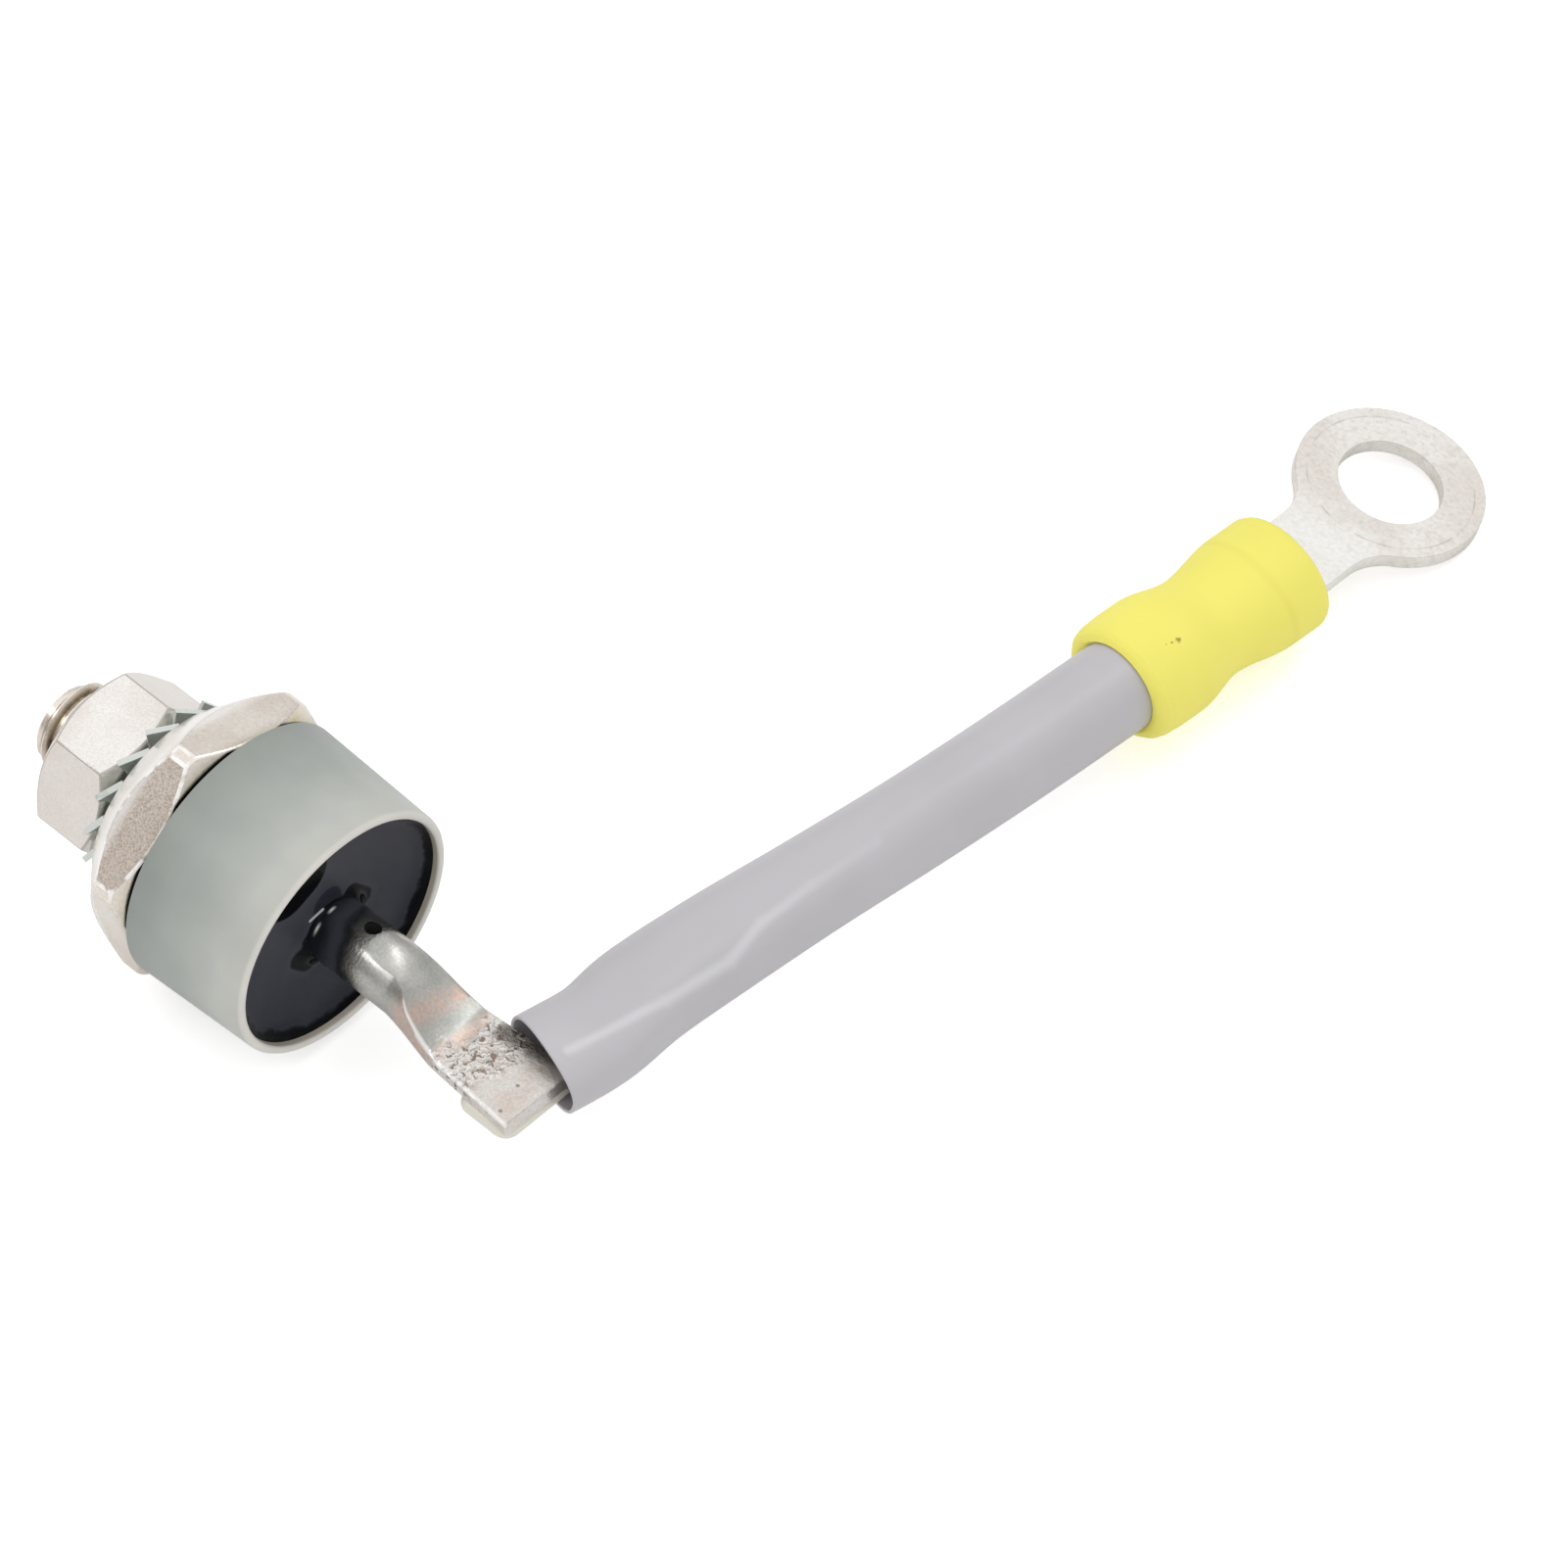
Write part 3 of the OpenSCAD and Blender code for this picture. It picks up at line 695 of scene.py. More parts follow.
@dataclass(frozen=True)
class TinnedCopper(Finish):
    """Grey plate on copper: wet at its foot, soldered at the blade, with painted highlights and a
    painted shadow by the sleeve.

    Bands, lip and highlight dashes are (middle, half width), by x, x and y. Other pairs
    are where a mark starts and stops, by x or by a length that follows it, or
    for the lean by the way the flank looks.
    """

    bands: tuple[Pair, ...] = ((11.6, 1.0), (13.9, 0.8))
    flank: Pair = (9.6, 10.6)
    flank_lean: Pair = (-0.85, -0.5)
    flank_share: float = 0.9
    solder_start: Pair = (14.0, 14.8)
    solder_calm: Pair = (17.4, 18.8)
    ridge_off: float = 0.6
    ridge_soft: Pair = (0.1, 0.35)
    ridge_dull: float = 0.6
    slant: Pair = (-2.6, -1.7)
    slant_skew: float = -0.23
    slant_start: Pair = (14.4, 15.2)
    film: Pair = (4.6, 5.6)
    wet: Pair = (4.2, 5.0)
    foot: Pair = (3.0, 4.0)
    foot_skew: float = 0.35
    foot_grain: float = 0.4
    bore: float = 2.1
    bore_end: float = 7.0
    lip: Pair = (3.08, 0.16)
    highlight_dash: tuple[Pair, ...] = ((-0.34, 0.42), (-1.6, 0.4))
    satin: Pair = (6.5, 9.0)
    satin_roughness: float = 0.38
    solder_grain: float = 0.03
    pale: Tone = tint(202, 200, 195)
    copper: Tone = tint(226, 194, 178)
    tin: Tone = tint(232, 229, 224)
    cream: Tone = tint(224, 214, 206)
    pit: Tone = tint(150, 132, 120)
    speck: Tone = tint(140, 124, 112)
    # Near white for the painted highlight on the solder's ridges.
    ridge: Tone = tint(252, 250, 247)
    grain: Tone = grey(238)
    shadow: Tone = tint(80, 70, 60)
    # Edge tone on the crease: wear and painted highlight.
    edge_tone: Tone = tint(254, 253, 251)
    resin: Tone = tint(58, 60, 67)
    resin_foot: Tone = tint(22, 23, 27)
    vent_inside: Tone = tint(52, 52, 54)
    highlight_tone: Tone = tint(235, 233, 234)

    def plate(self, s: Sketch, at: Socket, wide: Socket) -> Socket:
        """Grey metal with copper showing in bands and on the flank."""
        x = s.parts(at)[0]
        metal = s.lay(self.colour, self.pale, wide)
        side = s.span(s.facing()[1], *self.flank_lean, 1.0, 0.0)
        bare = s.both(side, s.rise(x, *self.flank), self.flank_share)
        for middle, half in self.bands:
            bare = s.either(bare, s.band(x, middle, half))
        patch = s.blotch(at, scale=3000.0, cover=0.6, soft=0.16)
        return s.lay(metal, self.copper, bare, patch, share=0.85)

    def solder(self, s: Sketch, at: Socket, calm: Socket) -> Socket:
        """Silvery solder with brown pits, creamy where it is calm."""
        pits = s.blotch(at, scale=2300.0, cover=0.4, soft=0.08)
        bloom = s.blotch(at, scale=420.0, cover=0.5, soft=0.16)
        specks = s.specks(at, scale=1500.0, size=0.2, share=0.14)
        tin = s.lay(self.tin, self.cream, bloom)
        tin = s.lay(tin, self.pit, pits, calm)
        return s.lay(tin, self.speck, specks, share=0.7)

    def foot_film(self, s: Sketch, at: Socket, foot: Socket, hollow: Socket) -> Socket:
        """The resin's colour on the foot, a darker tone inside the vent, and painted highlight
        dashes.
        """
        x, y, z = s.parts(at)
        resin = s.lay(self.resin, self.resin_foot, foot, share=0.85)
        # Darker inside the vent.
        resin = s.lay(resin, self.vent_inside, hollow)
        # Painted highlight: pale dashes on the foot's upper lip, where the post's highlight would
        # run.
        lip = s.both(s.band(x, *self.lip), s.past(z, AXIS.z))
        for middle, half in self.highlight_dash:
            resin = s.lay(resin, self.highlight_tone, lip, s.band(y, middle, half))
        return resin

    def paint(self, s: Sketch, to: Inputs) -> None:
        """Resin at the foot, plate with bare copper, solder with a painted highlight on its ridges,
        and the edge tone: wear with painted highlight.
        """
        at = s.place()
        x, y, _ = s.parts(at)
        fine = s.grain(at, scale=5200.0)
        wide = s.grain(at, scale=520.0)
        ragged = s.roughen(x, wide, depth=1.4)
        soldered = s.rise(ragged, *self.solder_start)
        calm = s.fall(ragged, *self.solder_calm)
        tone = s.lay(self.plate(s, at, wide), self.solder(s, at, calm), soldered)
        # Painted highlight on real lumps: the ridges of the solder's lumps are laid near white.
        lump = s.blotch(at, scale=2300.0, cover=0.5, soft=0.14)
        off = s.calc("ABSOLUTE", s.calc("SUBTRACT", lump, self.ridge_off))
        ridge = s.both(s.span(off, *self.ridge_soft, 1.0, 0.0), soldered, calm)
        tone = s.lay(tone, self.ridge, ridge, share=0.85)
        tone = s.shade(tone, fine, self.grain)
        slant = s.rise(s.calc("MULTIPLY_ADD", x, self.slant_skew, y), *self.slant)
        tone = s.lay(tone, self.shadow, slant, s.rise(x, *self.slant_start), share=0.75)
        # Painted highlight with wear: the pale edge tone on the roof's crease.
        edge_breaks = s.blotch(at, scale=900.0, cover=0.85, soft=0.1)
        tone = s.lay(tone, self.edge_tone, s.edge(), edge_breaks)
        climb = s.calc("MULTIPLY_ADD", y, self.foot_skew, x)
        climb = s.calc("ADD", climb, s.both(wide, self.foot_grain * MM))
        hollow = s.both(s.short_of(s.radius(at), self.bore), s.short_of(x, self.bore_end))
        film = s.either(s.fall(climb, *self.film), hollow)
        wet = s.either(s.fall(climb, *self.wet), hollow)
        resin = self.foot_film(s, at, s.fall(climb, *self.foot), hollow)
        s.feed(to["Base Color"], s.lay(tone, resin, film))
        dry = s.calc("SUBTRACT", 1.0, wet)
        # Less metal on the ridges keeps their painted highlight white.
        shiny = s.calc("SUBTRACT", 1.0, s.both(ridge, self.ridge_dull))
        s.feed(to["Metallic"], s.both(dry, shiny))
        height = s.both(lump, soldered, s.lift(calm, floor=0.08))
        height = s.calc("MULTIPLY_ADD", fine, self.solder_grain, height)
        s.feed(to["Normal"], s.bump(height, strength=0.5, depth=0.2))
        s.feed(to["Roughness"], s.fall(x, *self.satin, self.roughness, self.satin_roughness))


@dataclass(frozen=True)
class Vinyl(Finish):
    """Smooth satin vinyl with a barely seen grain."""

    def tone(self, s: Sketch, at: Socket) -> Socket:
        """A soft change of tone."""
        return s.shade(self.colour, s.grain(at, scale=120.0), grey(250))

    def paint(self, s: Sketch, to: Inputs) -> None:
        """The tone and a fine grain."""
        at = s.place()
        s.feed(to["Base Color"], self.tone(s, at))
        s.feed(to["Normal"], s.bump(s.grain(at, scale=2200.0), strength=0.1, depth=0.02))


@dataclass(frozen=True)
class SleeveVinyl(Vinyl):
    """Vinyl with a painted highlight along a crease, drawn by points of (x, y)."""

    crease: tuple[Pair, ...] = (
        (19.7, 3.0),
        (20.9, 10.1),
        (21.3, 15.3),
        (20.8, 18.4),
        (20.95, 22.7),
        (21.4, 28.0),
    )
    half: float = 0.5
    merge: float = 0.3
    upper: Pair = (6.5, 8.0)
    fade: Pair = (17.0, 28.0)
    # Tone of the painted highlight along the crease.
    pale: Tone = tint(228, 227, 231)

    def tone(self, s: Sketch, at: Socket) -> Socket:
        """The plain vinyl, then a painted highlight along the crease on its upper side."""
        _, y, z = s.parts(at)
        seen = s.flat(at, (1.0, 1.0, 0.0))
        points = [Vector((*point, 0.0)) for point in self.crease]
        gap = s.line(seen, points[0], points[1])
        for first, second in zip(points[1:], points[2:]):
            gap = s.calc("SMOOTH_MIN", gap, s.line(seen, first, second), self.merge * MM)
        fade = s.fall(y, *self.fade, rest=0.3)
        # Painted highlight along the crease, on the upper side only.
        mark = s.both(s.fall(gap, 0.0, self.half), s.rise(z, *self.upper), fade)
        return s.lay(super().tone(s, at), self.pale, mark, share=0.45)


@dataclass(frozen=True)
class InsulatorVinyl(Vinyl):
    """Vinyl with a painted shade line over the barrel's end and specks of (x, y, z, size)."""

    dirt: tuple[tuple[float, float, float, float], ...] = (
        (23.41, 52.34, 8.55, 0.26),
        (23.18, 51.43, 8.6, 0.2),
        (23.3, 51.9, 8.6, 0.14),
    )
    dirt_edge: Pair = (0.5, 1.2)
    step: Pair = (60.3, 0.5)
    crease_shade: Tone = tint(226, 208, 92)
    dirt_tone: Tone = tint(140, 120, 50)

    def tone(self, s: Sketch, at: Socket) -> Socket:
        """The plain vinyl, then the painted shade line and the specks."""
        # Painted shade: a faint darker line along the crease over the barrel's end.
        line = s.band(s.parts(at)[1], *self.step)
        tone = s.lay(super().tone(s, at), self.crease_shade, line, share=0.16)
        fine = s.grain(at, scale=4000.0)
        for *spot, size in self.dirt:
            ragged = s.roughen(s.away(at, Vector(spot)), fine, depth=0.15)
            dot = s.fall(ragged, *(size * share for share in self.dirt_edge), top=0.8)
            tone = s.lay(tone, self.dirt_tone, dot)
        return tone


@dataclass(frozen=True)
class TinPlate(Finish):
    """Pale tin plate with a warm bloom and a broken line round the ring."""

    centre: Triple = (20.8, 74.3, 2.02)
    line: Pair = (5.45, 0.1)
    neck: Pair = (66.5, 71.5)
    warm: Tone = tint(230, 224, 217)
    dot: Tone = tint(200, 191, 182)
    bright: Tone = tint(252, 251, 249)
    scratch: Tone = tint(160, 149, 140)
    edge_tone: Tone = tint(150, 144, 138)

    def paint(self, s: Sketch, to: Inputs) -> None:
        """Bloom, grain, the line and a darker tone on the edges."""
        at = s.place()
        fine = s.grain(at, scale=3600.0)
        warm = s.blotch(at, scale=190.0, cover=0.45, soft=0.12)
        dots = s.blotch(at, scale=2600.0, cover=0.36, soft=0.08)
        tone = s.lay(self.colour, self.warm, warm)
        tone = s.lay(tone, self.dot, dots, share=0.3)
        tone = s.lay(tone, self.bright, s.fall(s.parts(at)[1], *self.neck, top=0.6))
        broken = s.blotch(at, scale=520.0, cover=0.5, soft=0.1)
        ring = s.both(s.band(s.away(at, Vector(self.centre)), *self.line), broken)
        tone = s.lay(tone, self.scratch, ring, share=0.45)
        tone = s.shade(tone, fine, grey(246))
        s.feed(to["Base Color"], s.lay(tone, self.edge_tone, s.edge(), share=0.6))
        height = s.calc("SUBTRACT", fine, ring)
        s.feed(to["Normal"], s.bump(height, strength=0.15, depth=0.03))


class Wardrobe:
    """Every finish of the diode, by its slot in the record."""

    def __init__(self) -> None:
        """Lists the finishes and makes their materials."""
        # Name, colour, roughness, metallic and specular, then what differs from the class.
        kinds: dict[str, Finish] = {
            "nickel_plate": StudPlate(
                "NickelPlate", tint(247, 240, 231), 0.22, 0.7,
                dull=tint(233, 223, 211), pits=0.12, edge_cover=0.54,
            ),
            "zinc_plate": PlatedMetal(
                "ZincPlate", tint(190, 197, 190), 0.35, 0.6,
                dull=tint(170, 177, 169), cover=0.3, edge_tone=tint(214, 219, 213),
            ),
            "bright_nickel": NutPlate(
                "BrightNickel", tint(251, 248, 244), 0.2, 0.9,
                dull=tint(234, 226, 219), edge_tone=tint(176, 168, 160), edge_mark=0.7,
            ),
            "housing_plastic": HousingPlastic("HousingPlastic", tint(185, 188, 180), 0.42),
            "potting_resin": PottingResin("PottingResin", tint(12, 13, 16), 0.07, specular=0.04),
            "die_solder": Finish("DieSolder", tint(190, 190, 188), 0.4, 1.0),
            "silicon": Finish("Silicon", tint(92, 96, 108), 0.2, 0.6),
            "tinned_copper": TinnedCopper("TinnedCopper", tint(186, 187, 182), 0.2, 1.0, 0.2),
            "soft_solder": Finish("SoftSolder", tint(222, 218, 206), 0.45, 0.5),
            "copper_strand": Finish("CopperStrand", tint(232, 228, 216), 0.5, 0.3),
            "grey_vinyl": SleeveVinyl("GreyVinyl", tint(194, 192, 196), 0.36),
            "tin_plate": TinPlate("TinPlate", tint(240, 237, 232), 0.4, 0.5),
            "yellow_vinyl": InsulatorVinyl("YellowVinyl", tint(250, 241, 116), 0.55, specular=0.3),
        }
        self.materials = {slot: kind.material() for slot, kind in kinds.items()}

    def dress_nodes(self) -> None:
        """Gives every node of the frame the material of its slot."""
        for part in frame["record"]["subparts"]:
            data = frame["nodes"][part["node"]].data
            data.materials.clear()
            data.materials.append(self.materials[part["material_slot"]])


class Forge:
    """The shaping steps that the pieces share."""

    @staticmethod
    def clean(bm: Shape) -> None:
        """Merges doubled vertices and turns the faces outwards."""
        bmesh.ops.remove_doubles(bm, verts=bm.verts, dist=TOUCHING)
        bmesh.ops.recalc_face_normals(bm, faces=bm.faces)

    @staticmethod
    def turn(
        profile: Profile, steps: int, closed: bool = False, turns: int = 1, lead: float = 0.0
    ) -> Shape:
        """Turns a profile about the X axis, once round or as a screw.

        Args:
            profile: Points of (x, radius).
            steps: Steps in a full turn.
            closed: Whether the last point joins the first.
            turns: Full turns.
            lead: How far a screw moves along in a turn.

        Returns:
            The turned mesh, with doubles where a screw meets itself.
        """
        bm = bmesh.new()
        verts = [bm.verts.new((x, 0.0, r)) for x, r in profile]
        ends = verts[1:] + verts[:1] if closed else verts[1:]
        edges = [bm.edges.new(pair) for pair in zip(verts, ends)]
        bmesh.ops.spin(
            bm,
            geom=verts + edges,
            cent=(0.0, 0.0, 0.0),
            axis=(1.0, 0.0, 0.0),
            dvec=(lead / steps, 0.0, 0.0),
            angle=math.tau * turns,
            steps=steps * turns,
            use_merge=lead == 0.0,
        )
        return bm

    @staticmethod
    def lathe(profile: Profile, steps: int, closed: bool = False) -> Shape:
        """A clean body of one full turn, from points of (x, radius)."""
        bm = Forge.turn(profile, steps, closed)
        Forge.clean(bm)
        return bm

    @staticmethod
    def round_edges(bm: Shape, chosen: EdgeTest, width: float, segments: int) -> None:
        """Rounds the edges that a test picks, and gives the narrow faces the edge mark, where
        finishes paint wear and highlight.
        """
        mark = bm.faces.layers.float.get(EDGE) or bm.faces.layers.float.new(EDGE)
        rounded = bmesh.ops.bevel(
            bm,
            geom=[edge for edge in bm.edges if chosen(edge)],
            offset=width,
            offset_type="OFFSET",
            segments=segments,
            profile=0.5,
            affect="EDGES",
            clamp_overlap=True,
            material=-1,
        )["faces"]
        for face in rounded:
            longest = max(edge.calc_length() for edge in face.edges)
            face[mark] = float(face.calc_area() < width * longest)

    @staticmethod
    def on_ring(x: float, radius: float) -> EdgeTest:
        """A test for the edges of one turned ring."""

        def on(place: Vector) -> bool:
            """Whether a point lies on the ring."""
            return abs(place.x - x) < NEAR and abs(off_axis(place) - radius) < 10 * NEAR

        return lambda edge: all(on(vert.co) for vert in edge.verts)

    @staticmethod
    def sharper(degrees: float) -> EdgeTest:
        """A test for edges that turn by more than an angle."""
        limit = math.radians(degrees)
        return lambda edge: len(edge.link_faces) == 2 and edge.calc_face_angle(0.0) > limit

    @staticmethod
    def bar(radius: float, length: float, sides: int) -> Shape:
        """A capped bar along Z about the origin."""
        bm = bmesh.new()
        sizes = {"radius1": radius, "radius2": radius, "depth": length}
        bmesh.ops.create_cone(bm, cap_ends=True, segments=sides, **sizes)
        return bm

    @staticmethod
    def combine(first: Shape, second: Shape, how: Join) -> Shape:
        """Joins two closed meshes.

        Args:
            first, second: The meshes, which are used up.
            how: What is kept of them.

        Returns:
            The result as a new mesh.
        """
        made = []
        for bm in (first, second):
            bmesh.ops.recalc_face_normals(bm, faces=bm.faces)
            made.append(stand("shape", as_mesh("shape", bm)))
        step = made[0].modifiers.new("join", "BOOLEAN")
        step.object, step.operation, step.solver = made[1], how.value, "EXACT"
        result = bmesh.new()
        result.from_object(made[0], bpy.context.evaluated_depsgraph_get())
        for item in made:
            data = item.data
            bpy.data.objects.remove(item)
            bpy.data.meshes.remove(data)
        bmesh.ops.remove_doubles(result, verts=result.verts, dist=NEAR)
        return result

    @staticmethod
    def hexagon(body: Shape, across: float, turn: float, ends: Pair, rounding: float) -> Shape:
        """Cuts a turned body to a hexagon and rounds its edges.

        Args:
            body: The turned body, which is used up.
            across: Width over the flats.
            turn: Angle of a corner from +Y towards +Z, in degrees.
            ends: The body's ends along X.
            rounding: Width of the rounded edges.

        Returns:
            The cut body.
        """
        low, high = ends
        bar = Forge.bar(across / math.sqrt(3.0), high - low + 2 * SPARE, sides=6)
        first = max(bar.verts, key=lambda v: v.co.x)
        start = math.atan2(first.co.y, first.co.x)
        spun = Matrix.Rotation(math.radians(turn) - start, 3, "Z")
        bmesh.ops.rotate(bar, verts=bar.verts, matrix=spun)
        lying = Matrix(((0, 0, 1), (1, 0, 0), (0, 1, 0)))
        bmesh.ops.transform(bar, matrix=lying.to_4x4(), verts=bar.verts)
        bmesh.ops.translate(bar, vec=((low + high) / 2, 0.0, 0.0), verts=bar.verts)
        made = Forge.combine(bar, body, Join.INTERSECT)
        Forge.round_edges(made, Forge.sharper(degrees=14.0), rounding, segments=2)
        return made

    @staticmethod
    def loft(
        sections: Sequence[Sequence[Vector]],
        caps: bool = True,
        edge_mark: Callable[[int, int], bool] = lambda row, spot: False,
    ) -> Shape:
        """Draws a skin through closed sections of equal count.

        Args:
            sections: Rings of points, in order.
            caps: Whether the two ends are filled.
            edge_mark: Whether a point, by its ring and place, carries the edge mark, where the
                finish paints a highlight with wear.

        Returns:
            The skin.
        """
        bm = bmesh.new()
        mark = bm.verts.layers.float.new(EDGE)
        ring = bmesh.ops.create_circle(bm, segments=len(sections[0]), radius=1.0)["verts"]
        edges = list(bm.edges)
        first = list(edges)
        for row, section in enumerate(sections):
            if row:
                grown = bmesh.ops.extrude_edge_only(bm, edges=edges)["geom"]
                fresh = {g for g in grown if isinstance(g, bmesh.types.BMVert)}
                edges = [g for g in grown if isinstance(g, Edge) and fresh.issuperset(g.verts)]
                rungs = [[edge.other_vert(vert) for edge in vert.link_edges] for vert in ring]
                ring = [next(vert for vert in rung if vert in fresh) for rung in rungs]
            for spot, (vert, place) in enumerate(zip(ring, section)):
                vert.co = place
                vert[mark] = float(edge_mark(row, spot))
        if caps:
            bmesh.ops.edgeloop_fill(bm, edges=first)
            bmesh.ops.edgeloop_fill(bm, edges=edges)
        Forge.clean(bm)
        return bm

    @staticmethod
    def node_copy(name: str) -> Shape:
        """A merged copy of a node of the frame, in millimetres."""
        bm = bmesh.new()
        bm.from_mesh(frame["nodes"][name].data)
        bmesh.ops.scale(bm, vec=(1 / MM,) * 3, verts=bm.verts)
        bmesh.ops.remove_doubles(bm, verts=bm.verts, dist=NEAR)
        bmesh.ops.dissolve_limit(bm, angle_limit=math.radians(1.0), verts=bm.verts, edges=bm.edges)
        return bm

    @staticmethod
    def join(first: Shape, second: Shape) -> Shape:
        """Puts a second mesh beside the first, in one."""
        data = as_mesh("part", second)
        first.from_mesh(data)
        bpy.data.meshes.remove(data)
        return first


@dataclass
class Assembly:
    """A sub-assembly: it builds its pieces and dresses them."""

    wardrobe: Wardrobe

    def settle(
        self, bm: Shape, name: str, slot: str, node: str, shift: Vector = AXIS, crease: float = 32.0
    ) -> bpy.types.Object:
        """Makes a mesh a piece of the object.

        Args:
            bm: The mesh in millimetres, which is used up.
            name: The piece's name.
            slot: Its finish in the record.
            node: The node it stands for.
            shift: Where its origin lies in the frame.
            crease: The angle above which an edge stays sharp.

        Returns:
            The piece.
        """
        Forge.clean(bm)
        bmesh.ops.translate(bm, vec=shift, verts=bm.verts)
        bmesh.ops.scale(bm, vec=(MM,) * 3, verts=bm.verts)
        data = as_mesh(name, bm)
        data.shade_smooth()
        data.set_sharp_from_angle(angle=math.radians(crease))
        large = [f for f in data.polygons if len(f.vertices) > FLAT_CORNERS or f.area >= FLAT_AREA]
        planes = [face.normal.copy() for face in large]
        for face in data.polygons:
            face.use_smooth = all(face.normal.dot(plane) < SAME_PLANE for plane in planes)
        data.materials.append(self.wardrobe.materials[slot])
        piece = stand(name, data)
        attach(piece, "root")
        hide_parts(node)
        LOG.info("%s: %d faces", name, len(data.polygons))
        return piece


@dataclass
class StudBase(Assembly):
    """Hexagonal flange with its threaded stud.

    The ridge of the thread is points of (share of pitch, share of height). The
    thread starts early, by a count of pitches, and is cut at the tip.
    """

    across: float = 17.35
    turned: float = 9.8
    turn: float = 43.6
    depth: float = 5.2
    seat: float = 6.9
    rear_cone: float = 2.8
    shoulder: float = 8.45
    front_cone: float = 1.0
    rounding: float = 0.2
    tip: float = -14.6
    tip_radius: float = 2.4
    neck: float = 2.675
    crest: float = 3.0
    root: float = 2.5
    pitch: float = 0.8
    ridge: tuple[Pair, ...] = ((0.0, 0), (0.12, 0), (0.44, 1), (0.56, 1), (0.88, 0), (1.0, 0))
    thread_end: float = -11.9
    thread_hidden: float = 0.6
    early: float = 1.5
    turns: int = 7
    steps: int = 72

    def flange(self) -> Shape:
        """The hexagon cut by its turned outline."""
        low = -self.depth
        profile = [(low, 0.0), (low, self.seat), (low + self.rear_cone, self.turned)]
        profile += [(-self.front_cone, self.turned), (0.0, self.shoulder), (0.0, 0.0)]
        body = Forge.lathe(profile, self.steps)
        return Forge.hexagon(body, self.across, self.turn, (low, 0.0), self.rounding)

    def thread(self) -> Shape:
        """The free end of the stud, cut with a helical thread and chamfered."""
        start = self.tip - self.early * self.pitch
        rows = [
            (start + run * self.pitch, blend(self.root, self.crest, up)) for run, up in self.ridge
        ]
        bm = Forge.turn(rows, self.steps, turns=self.turns, lead=self.pitch)
        bmesh.ops.remove_doubles(bm, verts=bm.verts, dist=NEAR)
        for spot, side in ((self.tip, -1.0), (self.thread_end + self.thread_hidden, 1.0)):
            cut = bmesh.ops.bisect_plane(
                bm,
                geom=list(bm.verts) + list(bm.edges) + list(bm.faces),
                dist=TOUCHING / 10,
                plane_co=(spot, 0.0, 0.0),
                plane_no=(side, 0.0, 0.0),
                clear_outer=True,
            )["geom_cut"]
            bmesh.ops.edgeloop_fill(bm, edges=[g for g in cut if isinstance(g, Edge)])
        for vert in bm.verts:
            radius = off_axis(vert.co)
            limit = self.tip_radius + (vert.co.x - self.tip)
            if radius > limit:
                vert.co.y *= limit / radius
                vert.co.z *= limit / radius
        return bm

    def build(self) -> None:
        """Flange, plain stud and thread in one piece."""
        rows = [(self.thread_end, 0.0), (self.thread_end, self.neck), (-self.depth, self.neck)]
        neck = Forge.lathe(rows + [(-self.depth, 0.0)], steps=96)
        bm = Forge.join(Forge.join(self.flange(), neck), self.thread())
        self.settle(bm, "stud_and_flange", "nickel_plate", "stud_base", crease=28.0)


